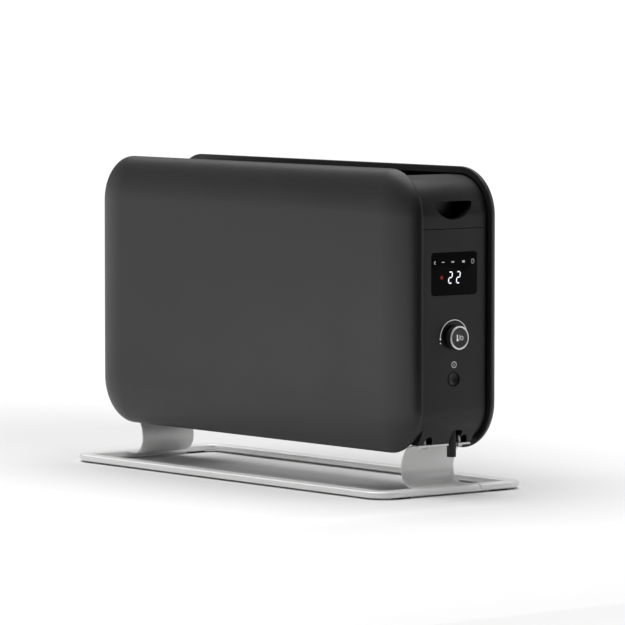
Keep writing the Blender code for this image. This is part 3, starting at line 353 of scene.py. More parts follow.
def new_group(name, inputs, outputs):
    """Shader node group with named sockets; inputs give each socket's type and default."""
    group = bpy.data.node_groups.new(name, "ShaderNodeTree")
    for label, kind, default in inputs:
        socket = group.interface.new_socket(name=label, in_out="INPUT", socket_type=kind)
        if default is not None:
            socket.default_value = default
    for label, kind in outputs:
        group.interface.new_socket(name=label, in_out="OUTPUT", socket_type=kind)
    source = group.nodes.new("NodeGroupInput").outputs
    return group, Wiring(group), source


def fill(tree, socket, value):
    """Links a socket to an input, or sets the input's own value."""
    if isinstance(value, bpy.types.NodeSocket):
        tree.links.new(value, socket)
    else:
        socket.default_value = value


class Wiring:
    """Adds nodes to a tree and links them by socket name."""

    def __init__(self, tree):
        self.tree = tree

    def node(self, kind, **values):
        """New node; a value whose name is a socket sets or links it, any other is a setting."""
        made = self.tree.nodes.new("ShaderNode" + kind)
        settings = [n for n in values if n in made.bl_rna.properties and n not in made.inputs]
        for label in settings:
            setattr(made, label, values.pop(label))
        for label, value in values.items():
            index = int(label[1:]) if label[0] == "i" and label[1:].isdigit() else label.replace("_", " ")
            fill(self.tree, made.inputs[index], value)
        return made

    def math(self, operation, a, b=0.0, clamp=False):
        return self.node("Math", operation=operation, use_clamp=clamp, i0=a, i1=b).outputs[0]

    def close(self, **outputs):
        end = self.tree.nodes.new("NodeGroupOutput")
        for label, socket in outputs.items():
            self.tree.links.new(socket, end.inputs[label.replace("_", " ")])


VECTOR, FLOAT = "NodeSocketVector", "NodeSocketFloat"


def build_grain_group():
    """Moulded or sprayed grain: small bumps, and a slow change of tone."""
    group, wire, source = new_group(
        "heater_grain", [("Vector", VECTOR, None), ("Scale", FLOAT, 1500.0), ("Spread", FLOAT, 0.1)],
        [("Height", FLOAT), ("Tone", FLOAT), ("Patches", FLOAT)])
    fine = wire.node("TexNoise", Vector=source["Vector"], Scale=source["Scale"], Detail=2.0, Roughness=0.55)
    pores = wire.node("TexVoronoi", feature="SMOOTH_F1", Vector=source["Vector"],
                      Scale=wire.math("MULTIPLY", source["Scale"], 0.6), Smoothness=0.6)
    height = wire.math("ADD", wire.math("MULTIPLY", fine.outputs[0], 0.6),
                       wire.math("MULTIPLY", pores.outputs["Distance"], 0.4))
    slow = wire.node("TexNoise", Vector=source["Vector"], Scale=9.0, Detail=3.0, Roughness=0.6)
    shift = wire.math("MULTIPLY", wire.math("SUBTRACT", slow.outputs[0], 0.5), source["Spread"])
    wire.close(Height=height, Tone=wire.math("ADD", shift, 1.0), Patches=slow.outputs[0])
    return group


def build_wear_group():
    """Rubbed edges: where a bevelled normal leaves the true one, broken up by noise."""
    group, wire, source = new_group(
        "heater_edge_wear", [("Vector", VECTOR, None), ("Amount", FLOAT, 0.3), ("Scale", FLOAT, 220.0)],
        [("Mask", FLOAT)])
    soft = wire.node("Bevel", samples=4, Radius=0.9 * MM)
    sharp = wire.node("NewGeometry")
    same = wire.node("VectorMath", operation="DOT_PRODUCT", i0=soft.outputs["Normal"],
                     i1=sharp.outputs["Normal"])
    edge = wire.math("MULTIPLY", wire.math("SUBTRACT", 1.0, same.outputs["Value"]), 9.0, clamp=True)
    noise = wire.node("TexNoise", Vector=source["Vector"], Scale=source["Scale"], Detail=4.0, Roughness=0.65)
    broken = wire.node("MapRange", i0=noise.outputs[0], i1=0.42, i2=0.62)
    rubbed = wire.math("MULTIPLY", edge, broken.outputs[0])
    wire.close(Mask=wire.math("MULTIPLY", rubbed, source["Amount"], clamp=True))
    return group


def build_dust_group():
    """Dust: more on faces that look up, in soft patches with single specks."""
    group, wire, source = new_group(
        "heater_dust", [("Vector", VECTOR, None), ("Amount", FLOAT, 0.3)], [("Mask", FLOAT)])
    up = wire.node("SeparateXYZ", Vector=wire.node("NewGeometry").outputs["Normal"])
    facing = wire.node("MapRange", i0=up.outputs["Z"], i1=0.25, i2=1.0)
    patches = wire.node("TexNoise", Vector=source["Vector"], Scale=24.0, Detail=5.0, Roughness=0.7)
    specks = wire.node("TexNoise", Vector=source["Vector"], Scale=900.0, Detail=1.0)
    speck = wire.node("MapRange", i0=specks.outputs[0], i1=0.62, i2=0.72)
    lying = wire.math("MULTIPLY", facing.outputs[0], patches.outputs[0])
    both = wire.math("ADD", lying, wire.math("MULTIPLY", speck.outputs[0], facing.outputs[0]))
    wire.close(Mask=wire.math("MULTIPLY", both, source["Amount"], clamp=True))
    return group


def build_brushed_group():
    """Brushed metal: noise drawn out along one axis."""
    group, wire, source = new_group(
        "heater_brushed", [("Vector", VECTOR, None), ("Stretch", VECTOR, (14.0, 900.0, 900.0))],
        [("Height", FLOAT), ("Tone", FLOAT)])
    drawn = wire.node("VectorMath", operation="MULTIPLY", i0=source["Vector"], i1=source["Stretch"])
    lines = wire.node("TexNoise", Vector=drawn.outputs[0], Scale=1.0, Detail=3.0, Roughness=0.6)
    slow = wire.node("TexNoise", Vector=source["Vector"], Scale=14.0, Detail=2.0)
    tone = wire.math("ADD", wire.math("MULTIPLY", lines.outputs[0], 0.6),
                     wire.math("MULTIPLY", slow.outputs[0], 0.4))
    wire.close(Height=lines.outputs[0], Tone=tone)
    return group


# ---------------------------------------------------------------- materials

GROUPS = {}
FINISHES = {}
DUST_ON_DARK = (0.16, 0.155, 0.148, 1)
DUST_ON_METAL = (0.45, 0.44, 0.42, 1)


def build_groups():
    for name, make in (("grain", build_grain_group), ("wear", build_wear_group),
                       ("dust", build_dust_group), ("brushed", build_brushed_group)):
        GROUPS[name] = make()


class Finish:
    """A material with one Principled shader, Object coordinates and the shared groups."""

    def __init__(self, name):
        self.material = bpy.data.materials.new(name)
        self.material.use_nodes = True
        self.tree = self.material.node_tree
        self.wire = Wiring(self.tree)
        self.shader = next(n for n in self.tree.nodes if n.type == "BSDF_PRINCIPLED")
        self.place = self.tree.nodes.new("ShaderNodeTexCoord").outputs["Object"]
        FINISHES[name] = self

    def group(self, name, **values):
        made = self.tree.nodes.new("ShaderNodeGroup")
        made.node_tree = GROUPS[name]
        for label, value in dict(Vector=self.place, **values).items():
            fill(self.tree, made.inputs[label], value)
        return made.outputs

    def set(self, **values):
        """Plain values on the shader's own sockets."""
        for label, value in values.items():
            self.shader.inputs[label.replace("_", " ")].default_value = value

    def link(self, socket, label):
        self.tree.links.new(socket, self.shader.inputs[label])

    def mix(self, factor, a, b):
        """Colour a where the factor is 0 and b where it is 1."""
        node = self.wire.node("Mix", data_type="RGBA")
        for index, value in ((0, factor), (6, a), (7, b)):
            fill(self.tree, node.inputs[index], value)
        return node.outputs[2]

    def toned(self, colour, tone):
        """Colour multiplied by a varying tone."""
        return self.wire.node("VectorMath", operation="SCALE", i0=colour[:3], Scale=tone).outputs[0]

    def vary(self, source, low, high, start=0.3, end=0.7):
        return self.wire.node("MapRange", i0=source, i1=start, i2=end, i3=low, i4=high).outputs[0]

    def bump(self, height, distance, strength=1.0):
        node = self.wire.node("Bump", Height=height, Distance=distance, Strength=strength)
        self.link(node.outputs[0], "Normal")


def rgba(colour):
    return (*colour[:3], 1.0)


def coated_finish(name, colour, worn, roughness, grain_scale, grain_height, specular=0.5):
    """Paint or moulded plastic: grain, slow tone, rubbed edges and dust."""
    finish = Finish(name)
    grain = finish.group("grain", Scale=grain_scale, Spread=0.18)
    wear = finish.group("wear", Amount=looks().wear)
    dust = finish.group("dust", Amount=looks().dust)
    base = finish.toned(colour, grain["Tone"])
    rubbed = finish.mix(wear["Mask"], base, rgba(worn))
    finish.link(finish.mix(dust["Mask"], rubbed, DUST_ON_DARK), "Base Color")
    finish.link(finish.vary(grain["Patches"], roughness - 0.035, roughness + 0.035), "Roughness")
    finish.set(Specular_IOR_Level=specular)
    finish.bump(grain["Height"], grain_height)
    return finish


def metal_finish(name, colour, roughness, stretch, height=0.004 * MM, spread=0.12, metallic=0.85):
    """Brushed or plated metal."""
    finish = Finish(name)
    brushed = finish.group("brushed", Stretch=stretch)
    dust = finish.group("dust", Amount=0.5 * looks().dust)
    light = tuple(min(c * (1 + spread), 1.0) for c in colour[:3])
    dark = tuple(c * (1 - spread) for c in colour[:3])
    base = finish.mix(brushed["Tone"], rgba(dark), rgba(light))
    finish.link(finish.mix(dust["Mask"], base, DUST_ON_METAL), "Base Color")
    finish.link(finish.vary(brushed["Height"], roughness - 0.05, roughness + 0.06), "Roughness")
    finish.set(Metallic=metallic)
    finish.bump(brushed["Height"], height)
    return finish


def glass_finish(name, colour, roughness):
    """Polished black panel with faint smears."""
    finish = Finish(name)
    grain = finish.group("grain", Scale=60.0, Spread=0.3)
    finish.link(finish.toned(colour, grain["Tone"]), "Base Color")
    finish.link(finish.vary(grain["Patches"], roughness, roughness + 0.07, 0.45, 0.75), "Roughness")
    finish.set(Specular_IOR_Level=0.02)
    return finish


def printed_finish(name, colour, emission=0.0):
    """Ink, or a lit figure: emission gives its strength; on ink it is a painted glow, since ink is no lamp.
    """
    finish = Finish(name)
    grain = finish.group("grain", Scale=2500.0, Spread=0.12)
    base = finish.toned(colour, grain["Tone"])
    finish.link(base, "Base Color")
    finish.set(Roughness=0.5)
    if emission:
        finish.link(base, "Emission Color")
        finish.set(Emission_Strength=emission)
    return finish


def spun_finish(name, colour, roughness, centre_z):
    """Metal turned on a lathe: fine rings about the dial's axis."""
    finish = Finish(name)
    parts = finish.wire.node("SeparateXYZ", Vector=finish.place)
    rise = finish.wire.math("SUBTRACT", parts.outputs["Z"], centre_z)
    flat = finish.wire.node("CombineXYZ", X=parts.outputs["Y"], Y=rise)
    reach = finish.wire.node("VectorMath", operation="LENGTH", i0=flat.outputs[0])
    rings = finish.wire.node("TexNoise", noise_dimensions="1D", W=reach.outputs["Value"], Scale=7000.0,
                             Detail=2.0)
    light = tuple(min(c * 1.06, 1.0) for c in colour)
    dark = tuple(c * 0.9 for c in colour)
    finish.link(finish.mix(rings.outputs[0], rgba(dark), rgba(light)), "Base Color")
    finish.link(finish.vary(rings.outputs[0], roughness - 0.04, roughness + 0.05), "Roughness")
    finish.set(Metallic=0.7)
    finish.bump(rings.outputs[0], 0.003 * MM)
    return finish


def board_finish(name):
    """Green board with copper tracks under the varnish."""
    finish = Finish(name)
    cells = finish.wire.node("TexVoronoi", feature="DISTANCE_TO_EDGE", distance="EUCLIDEAN",
                             Vector=finish.place, Scale=190.0, Randomness=0.55)
    tracks = finish.wire.node("MapRange", i0=cells.outputs["Distance"], i1=0.05, i2=0.09)
    grain = finish.group("grain", Scale=1800.0, Spread=0.2)
    finish.link(finish.mix(tracks.outputs[0], (0.05, 0.16, 0.07, 1), (0.012, 0.075, 0.03, 1)), "Base Color")
    finish.link(finish.vary(grain["Patches"], 0.28, 0.4), "Roughness")
    finish.bump(tracks.outputs[0], 0.02 * MM)
    return finish


def build_finishes():
    """Every finish in the heater, named after the record's slots where they are the same."""
    cover, plastic, silver = looks().cover_colour, looks().plastic_colour, looks().silver_colour
    worn = tuple(min(3.2 * c, 1.0) for c in cover)
    coated_finish("charcoal_paint", cover, worn, 0.40, 1400.0, 0.012 * MM, 0.42)
    coated_finish("black_plastic", plastic, tuple(3 * c for c in plastic), 0.36, 1900.0, 0.014 * MM, 0.36)
    coated_finish("inner_plastic", (0.70, 0.69, 0.66), (0.8, 0.8, 0.78), 0.45, 1700.0, 0.01 * MM)
    coated_finish("black_rubber", (0.011, 0.011, 0.011), (0.05, 0.05, 0.05), 0.66, 1100.0, 0.03 * MM)
    coated_finish("core_paint", (0.085, 0.085, 0.083), (0.4, 0.4, 0.39), 0.5, 1200.0, 0.02 * MM)
    glass_finish("gloss_black", (0.0075, 0.0075, 0.008), 0.05)
    coated_finish("dial_black", (0.012, 0.012, 0.0125), (0.04, 0.04, 0.04), 0.3, 1900.0, 0.006 * MM)
    coated_finish("grip_plastic", (0.022, 0.022, 0.0225), (0.06, 0.06, 0.06), 0.42, 1900.0, 0.012 * MM)
    metal_finish("satin_silver", silver, 0.44, (14.0, 420.0, 420.0), 0.0015 * MM, 0.05, 0.33)
    metal_finish("zinc_steel", (0.56, 0.57, 0.58), 0.34, (260.0, 260.0, 40.0), height=0.008 * MM)
    spun_finish("dial_silver", (0.93, 0.93, 0.925), 0.34, DIAL_Z)
    board_finish("circuit_board")
    # the white print gets a faint painted glow through emission, as if it were lit
    printed_finish("white_print_painted_glow", looks().print_colour, 0.25)
    printed_finish("white_glow", (0.93, 0.95, 1.0), looks().glow)
    printed_finish("dim_glow", (0.50, 0.51, 0.53), 0.36 * looks().glow)
    printed_finish("red_glow", (0.42, 0.010, 0.014), 0.45 * looks().glow)


# ---------------------------------------------------------------- cover panels

def cover_profile(border):
    """Closed profile (inset, depth) of a cover's sheet.

    Outside, it runs along a quarter ellipse from the flat face down to the rim, round a small bend and
    in along the lip. Inside, it comes back one sheet thickness behind.
    """
    face, bend = -COVER_LOW[1], RIM_Y + LIP_BEND
    turn = np.linspace(math.pi / 2, 0, 41)
    pillow = np.stack([border * (1 - np.cos(turn)), bend + (face - bend) * np.sin(turn)], axis=1)
    start = np.array([[border + 1.5 * MM, face]])
    rim = arc_points((LIP_BEND, bend), LIP_BEND, 180, 270, 5)[1:]
    lip = np.linspace((LIP_BEND + 1 * MM, RIM_Y), (COVER_LIP, RIM_Y), 4)
    outside = np.concatenate([start, pillow, rim, lip])
    normal = path_normals(outside)
    normal[0], normal[1], normal[-4:] = (0, 1), (0, 1), (0, -1)
    inside = outside - COVER_SHEET * normal
    return np.concatenate([outside, inside[::-1]])


class HEATER_OT_covers(bpy.types.Operator):
    """Builds the two pressed steel cover panels"""

    bl_idname = "heater.covers"
    bl_label = "Covers"

    def execute(self, context):
        profile = cover_profile(looks().cover_softness)
        width, height = COVER_HIGH[0] - COVER_LOW[0], COVER_HIGH[2] - COVER_LOW[2]
        path, normals = rounded_path(width, height, COVER_CORNER, arc=24, straight=14)
        origin = (MID_X, 0, (COVER_LOW[2] + COVER_HIGH[2]) / 2)
        for name, side, node in (("front_cover", -1, "front_panel"), ("rear_cover", 1, "rear_panel")):
            grid = ringed(path, normals, profile[:, 0], side * profile[:, 1], "XZ", origin)
            cover = new_piece(name, [surface(grid, wrap_columns=True, capped=True)])
            finish_piece(cover, "heater", "charcoal_paint", [node], angle=50)
        return {"FINISHED"}


# ---------------------------------------------------------------- end housings

CAP_REACH = FACE_X - MID_X
CAP_LOW_Z, CAP_HIGH_Z = 66 * MM, HANDLE_HIGH[2]
CAP_IN = HANDLE_LOW[0] - MID_X
SEAM_HIGH = HANDLE_LOW[2]
SEAM_LOW = HOUSING_HIGH[2]
SEAT_X = 319 * MM
SEAT_HALF_Y = 46 * MM
SEAT_LEAN = 13 * MM
SCREW_X = 313 * MM
SCREW_Y = 30 * MM
TUBE_X = (OUTLET_LOW[0] + OUTLET_HIGH[0]) / 2 - MID_X
TUBE_Y = (OUTLET_LOW[1] + OUTLET_HIGH[1]) / 2
TUBE_ROOM_TOP = 84 * MM
POST, SCREW_HOLE = 3.5 * MM, 1.8 * MM
SCREW_POCKET = 8.5 * MM
POCKET_X, POCKET_TOP = SCREW_X + 3 * MM, CAP_LOW_Z + 11 * MM
POCKET_HALF = 8.5 * MM
WINDOW_CORNER = 5 * MM
SHAFT_HOLE = 4.5 * MM
PAST = 5 * MM


def cap_path():
    """Side view of a housing, with outward normals: two quarter circles joined to the inner end."""
    turn = np.linspace(0, math.pi / 2, 29)
    low = np.stack([np.sin(turn), -np.cos(turn)], axis=1)
    high = np.stack([np.cos(turn), np.sin(turn)], axis=1)
    arcs = [np.array([CAP_REACH - radius, z]) + radius * n
            for radius, z, n in ((CAP_LOW_CORNER, CAP_LOW_Z + CAP_LOW_CORNER, low),
                                 (CAP_CORNER, CAP_HIGH_Z - CAP_CORNER, high))]
    path = np.concatenate([[(CAP_IN, CAP_LOW_Z)], arcs[0], arcs[1], [(CAP_IN, CAP_HIGH_Z)]])
    normals = np.concatenate([low[:1], low, high, high[-1:]])
    return path, normals


def cap_surface(side, path, normals, inset, reach):
    """Side view carried across Y, at one end of the heater."""
    grid = ringed(path, normals, inset, reach, "XZ")
    grid[..., 0] = MID_X + side * grid[..., 0]
    return surface(grid, wrap_columns=True, capped=True)


def cap_body(side):
    """Housing, drawn in along a quarter circle at both edges."""
    path, normals = cap_path()
    turn = np.linspace(0, math.pi / 2, 7)
    inset = CAP_EDGE * (1 - np.sin(turn))
    reach = HOUSING_HALF_Y - CAP_EDGE * (1 - np.cos(turn))
    inset = np.concatenate([inset, inset[::-1]])
    reach = np.concatenate([-reach, reach[::-1]])
    return cap_surface(side, path, normals, inset, reach)


def cap_hollow(side):
    """Room inside a housing, one wall thickness in from its outside and open at the inner end."""
    path, normals = cap_path()
    path[[0, -1], 0] -= PAST
    reach = HOUSING_HALF_Y - CAP_WALL
    return cap_surface(side, path, normals, np.full(2, CAP_WALL), np.array([-reach, reach]))


def on_side(side, low_x, high_x, low_y, high_y, low_z, high_z, edge=0.0):
    """Block between two distances from the middle, at one end of the heater."""
    xs = sorted((MID_X + side * low_x, MID_X + side * high_x))
    return block((xs[0], low_y, low_z), (xs[1], high_y, high_z), edge)


def whole_end(side, low_z, high_z):
    """Block that takes away everything of one end between two heights."""
    wide = HOUSING_HALF_Y + PAST
    return on_side(side, CAP_IN - 2 * PAST, CAP_REACH + PAST, -wide, wide, low_z, high_z)


def recess_outline(grow):
    """Flat top edge with a half oval below it, in Y and Z, its two corners eased."""
    radius = np.array([RECESS_HALF_WIDTH + grow, RECESS_HEIGHT + grow])
    oval = arc_points((0, RECESS_TOP), radius, 180, 360, 40)
    if grow:
        top = RECESS_TOP + grow
        return np.concatenate([oval, [(radius[0], top), (-radius[0], top)]])
    ease = RECESS_EASE
    left = arc_points((-radius[0] + ease, RECESS_TOP - ease), ease, 90, 165, 5)
    inner = oval[np.abs(oval[:, 0]) < radius[0] - GAP]
    right = left[::-1] * np.array([-1, 1])
    return np.concatenate([left, inner, right])


def recess_prism(side, grow):
    """Handle recess as a cutter, grown on every side."""
    inner, outer = CAP_REACH - RECESS_DEPTH - grow, CAP_REACH + PAST
    xs = sorted((MID_X + side * inner, MID_X + side * outer))
    return prism(recess_outline(grow), xs[0], xs[1], "YZ")


def rod(axis, centre, radius, low, high, steps=40):
    """Plain round cutter."""
    return turned([(0, low), (radius, low), (radius, high), (0, high)], centre, axis, steps)


def screw_rods(side, x, radius, top):
    """Round cutters from the floor up at the two foot screws of one end."""
    return [rod("Z", (MID_X + side * x, y, 0), radius, 0, top, 48) for y in (-SCREW_Y, SCREW_Y)]


def tube_room(grow, edge):
    """Square pocket round the cord's tube, open below and to the outside."""
    half = POCKET_HALF + grow
    return on_side(1, TUBE_X - half, CAP_REACH + PAST, TUBE_Y - half, TUBE_Y + half,
                   0, TUBE_ROOM_TOP + grow, edge)


def board_screws():
    """Inner end and middle line (x, y, z) of each screw that holds the control board."""
    boxes = [box("board_screw_%d" % n) for n in range(1, 5)]
    return [(low[0], *(low + high)[1:] / 2) for low, high in boxes]


class HEATER_OT_handles(bpy.types.Operator):
    """Builds the two handle covers with their recesses"""

    bl_idname = "heater.handles"
    bl_label = "Handle covers"

    def execute(self, context):
        for name, side in (("handle_cover_right", 1), ("handle_cover_left", -1)):
            hollow = carve(new_piece("hollow", [cap_hollow(side)]), recess_prism(side, 2 * MM))
            cover = carve(new_piece(name.replace("cover", "top"), [cap_body(side)]), hollow,
                          recess_prism(side, 0), whole_end(side, 0, SEAM_HIGH))
            bevelled(cover, 0.55 * MM)
            finish_piece(cover, "heater", "black_plastic", [name])
        return {"FINISHED"}


class HEATER_OT_housings(bpy.types.Operator):
    """Builds the control housing and the plain housing at the other end"""

    bl_idname = "heater.housings"
    bl_label = "Housings"

    def execute(self, context):
        for name, side, node in (("control_end", 1, "control_housing"), ("plain_end", -1, "left_housing")):
            housing = new_piece(name, [cap_body(side)])
            carve(housing, self.seat(side), operation="UNION")
            hollow = carve(new_piece("hollow", [cap_hollow(side)]),
                           *screw_rods(side, POCKET_X, SCREW_POCKET + CAP_WALL, POCKET_TOP + CAP_WALL))
            if side > 0:
                self.carve_rooms(hollow)
            carve(housing, hollow, whole_end(side, SEAM_LOW, CAP_HIGH_Z + PAST))
            if side > 0:
                self.carve_controls(housing)
            carve(housing, *screw_rods(side, SCREW_X, 2.8 * MM, CAP_LOW_Z + 10 * MM),
                  *screw_rods(side, POCKET_X, SCREW_POCKET, POCKET_TOP))
            bevelled(housing, 0.5 * MM)
            finish_piece(housing, "heater", "black_plastic", [node])
        return {"FINISHED"}

    def seat(self, side):
        """Wedge that fills the lower corner above a foot's arm."""
        inner, rise = CAP_REACH - CAP_CORNER, 26 * MM
        outline = np.array([(inner, CAP_LOW_Z), (SEAT_X, CAP_LOW_Z), (SEAT_X + SEAT_LEAN, CAP_LOW_Z + rise),
                            (inner, CAP_LOW_Z + rise)])
        return prism(outline * np.array([side, 1]) + np.array([MID_X, 0]), -SEAT_HALF_Y, SEAT_HALF_Y,
                     "XZ", edge=0.8 * MM)

    def carve_rooms(self, hollow):
        """Keeps walls in the hollow round the tube's pocket, and the board's posts."""
        _, board_high = box("control_board")
        carve(hollow, tube_room(CAP_WALL, MM),
              *[rod("X", (0, y, z), POST, board_high[0] + GAP, FACE_X, 24) for _, y, z in board_screws()])

    def carve_controls(self, housing):
        """Opens the window seat, the shaft and switch holes and the tube's pocket."""
        size = WINDOW_HIGH - WINDOW_LOW
        seat, _ = rounded_path(size[1] + 2 * GAP, size[2] + 2 * GAP, WINDOW_CORNER + GAP, arc=10, straight=1)
        module_low, module_high = box("display_module")
        switch_radius = (SWITCH_HIGH[1] - SWITCH_LOW[1]) / 2
        inside, outside = FACE_X - 6 * MM, FACE_X + 4 * MM
        carve(housing,
              prism(seat, FACE_X - 1.5 * MM, FACE_X + PAST, "YZ", (0, 0, WINDOW_Z)),
              block((FACE_X - 10 * MM, module_low[1] - GAP, module_low[2] - GAP),
                    (FACE_X + MM, module_high[1] + GAP, module_high[2] + GAP)),
              rod("X", (0, 0, DIAL_Z), SHAFT_HOLE, inside, outside),
              rod("X", (0, 0, SWITCH_Z), switch_radius + GAP, inside, outside, 64),
              tube_room(0, 3 * MM),
              rod("Z", (MID_X + TUBE_X, TUBE_Y, 0), (OUTLET_HIGH[0] - OUTLET_LOW[0]) / 2 - 1.4 * MM,
                  TUBE_ROOM_TOP - 4 * MM, TUBE_ROOM_TOP + 6 * MM),
              *[rod("X", (0, y, z), SCREW_HOLE, x, x + 4 * CAP_WALL, 20) for x, y, z in board_screws()])


# ---------------------------------------------------------------- display

FIGURE_Z = WINDOW_Z - 5 * MM
TENS_Y, UNITS_Y = -6.4 * MM, 7.2 * MM
FIGURE_HALF_WIDTH, FIGURE_HALF_HEIGHT = 2.8 * MM, 7.3 * MM
SEGMENT_WIDTH, SEGMENT_GAP, FIGURE_LEAN = 1.45 * MM, 0.5 * MM, 0.07
MOON_PLACE = (0, -32.3 * MM, WINDOW_Z + 15.2 * MM)
CLOCK_PLACE = (0, 32.1 * MM, WINDOW_Z + 15.4 * MM)
HAND_PLACE = (0, 32.2 * MM, WINDOW_Z + 15.4 * MM)
POWER_BAR_Z = WINDOW_Z + 15.5 * MM
POWER_BARS = ((-19.0 * MM, 1.1 * MM), (-2.4 * MM, 1.9 * MM), (16.1 * MM, 3.0 * MM))
POWER_BAR_LENGTH = 4.8 * MM
HEAT_PLACE = (0, -21.5 * MM, WINDOW_Z - 4.6 * MM)
HEAT_RAYS = 8


def stroke(points, width, closed=False):
    """Outline of a line of even width along flat points."""
    points = np.asarray(points, dtype=float)
    normal = path_normals(points, closed)
    return points + normal * width / 2, points - normal * width / 2


def flat_mark(outline, x, height, origin):
    """Thin raised mark: an outline in Y and Z that stands off a plane."""
    return prism(outline, x, x + height, "YZ", origin)


def flat_ring(points, width, x, height, origin):
    """Thin raised line along closed points: a four-sided band swept round them."""
    outer, inner = stroke(points, width, closed=True)
    rows = []
    for line, level in ((outer, 0), (outer, height), (inner, height), (inner, 0)):
        rows.append(np.stack([np.full(len(line), x + level), line[:, 0], line[:, 1]], axis=1))
    return surface(np.stack(rows) + np.asarray(origin), wrap_rows=True, wrap_columns=True)


def flat_line(points, width, x, height, origin):
    """Thin raised line along open points."""
    left, right = stroke(points, width)
    return flat_mark(np.concatenate([left, right[::-1]]), x, height, origin)


BARS = {"a": ((-1, 1), (1, 1)), "b": ((1, 0), (1, 1)), "c": ((1, -1), (1, 0)), "d": ((-1, -1), (1, -1)),
        "e": ((-1, -1), (-1, 0)), "f": ((-1, 0), (-1, 1)), "g": ((-1, 0), (1, 0))}
SEGMENTS = ("abcdef", "bc", "abged", "abgcd", "fgbc", "afgcd", "afgedc", "abc", "abcdefg", "abcdfg")


def digit_parts(number, centre, x, height):
    """Seven-segment figure: each segment is a six-sided bar, with a slight lean."""
    half = np.array([FIGURE_HALF_WIDTH, FIGURE_HALF_HEIGHT])
    parts = []
    for label in SEGMENTS[number]:
        a, b = np.array(BARS[label]) * half
        along = (b - a) / np.linalg.norm(b - a)
        across = np.array([-along[1], along[0]]) * SEGMENT_WIDTH / 2
        a, b = a + along * SEGMENT_GAP, b - along * SEGMENT_GAP
        tip = along * SEGMENT_WIDTH / 2
        bar = np.array([a, a + tip - across, b - tip - across, b, b - tip + across, a + tip + across])
        bar[:, 0] += FIGURE_LEAN * bar[:, 1]
        parts.append(flat_mark(bar, x, height, (0, *centre)))
    return parts


def print_piece(name, parts, body, finish):
    """Piece of thin marks that rides a body and stands for no CAD node."""
    finish_piece(new_piece(name, parts), body, finish)


class HEATER_OT_display(bpy.types.Operator):
    """Builds the black window with its lit figures"""

    bl_idname = "heater.display"
    bl_label = "Display"

    def execute(self, context):
        size = WINDOW_HIGH - WINDOW_LOW
        path, _ = rounded_path(size[1], size[2], WINDOW_CORNER, arc=12, straight=4)
        pane = prism(path, WINDOW_LOW[0], FACE_X, "YZ", (0, 0, WINDOW_Z), 0.25 * MM)
        window = new_piece("window_pane", [pane])
        finish_piece(window, "heater", "gloss_black", ["display_window"])
        high = looks().print_height
        tens, units = divmod(looks().temperature, 10)
        figures = digit_parts(tens, (TENS_Y, FIGURE_Z), FACE_X, high)
        figures += digit_parts(units, (UNITS_Y, FIGURE_Z), FACE_X, high)
        print_piece("window_figures", figures, "heater", "white_glow")
        icons = [self.crescent(high)]
        for y, thick in POWER_BARS:
            bar, _ = rounded_path(POWER_BAR_LENGTH, thick, 0.35 * MM, arc=3, straight=1)
            icons.append(flat_mark(bar, FACE_X, high, (0, y, POWER_BAR_Z)))
        ring, _ = rounded_path(4.4 * MM, 5.8 * MM, 1.8 * MM, arc=8, straight=2)
        icons.append(flat_ring(ring, 0.55 * MM, FACE_X, high, CLOCK_PLACE))
        hand = np.array([(-0.3, 3.0), (-0.3, 0), (1.6, -0.6)]) * MM
        icons.append(flat_line(hand, 0.35 * MM, FACE_X, high, HAND_PLACE))
        print_piece("window_icons", icons, "heater", "dim_glow")
        print_piece("window_heat_mark", self.heat_mark(high), "heater", "red_glow")
        return {"FINISHED"}

    def crescent(self, high):
        """Crescent moon: a large arc, with a smaller one cut into its right side."""
        outer = arc_points((0, 0), 2.3 * MM, 75, 285, 20)
        inner = arc_points((1.5 * MM, 0), 2.2 * MM, 258, 102, 14)[1:-1]
        moon = np.concatenate([outer, inner])
        return flat_mark(moon, FACE_X, high, MOON_PLACE)

    def heat_mark(self, high):
        """Short rays round a dot."""
        dot = circle((0, 0), 1.3 * MM)
        parts = [flat_mark(dot, FACE_X, high, HEAT_PLACE)]
        for turn in np.arange(HEAT_RAYS) * 2 * math.pi / HEAT_RAYS:
            way = np.array([math.cos(turn), math.sin(turn)])
            ray = np.array([way * 1.8 * MM, way * 2.7 * MM])
            parts.append(flat_line(ray, 0.7 * MM, FACE_X, high, HEAT_PLACE))
        return parts


# ---------------------------------------------------------------- dial, rocker and printing

RING_EASE = 0.8 * MM
GROOVES, GROOVE_DEPTH = 48, 0.35 * MM
CAP_DISH = 0.45 * MM
SHAFT_BORE = 3.3 * MM


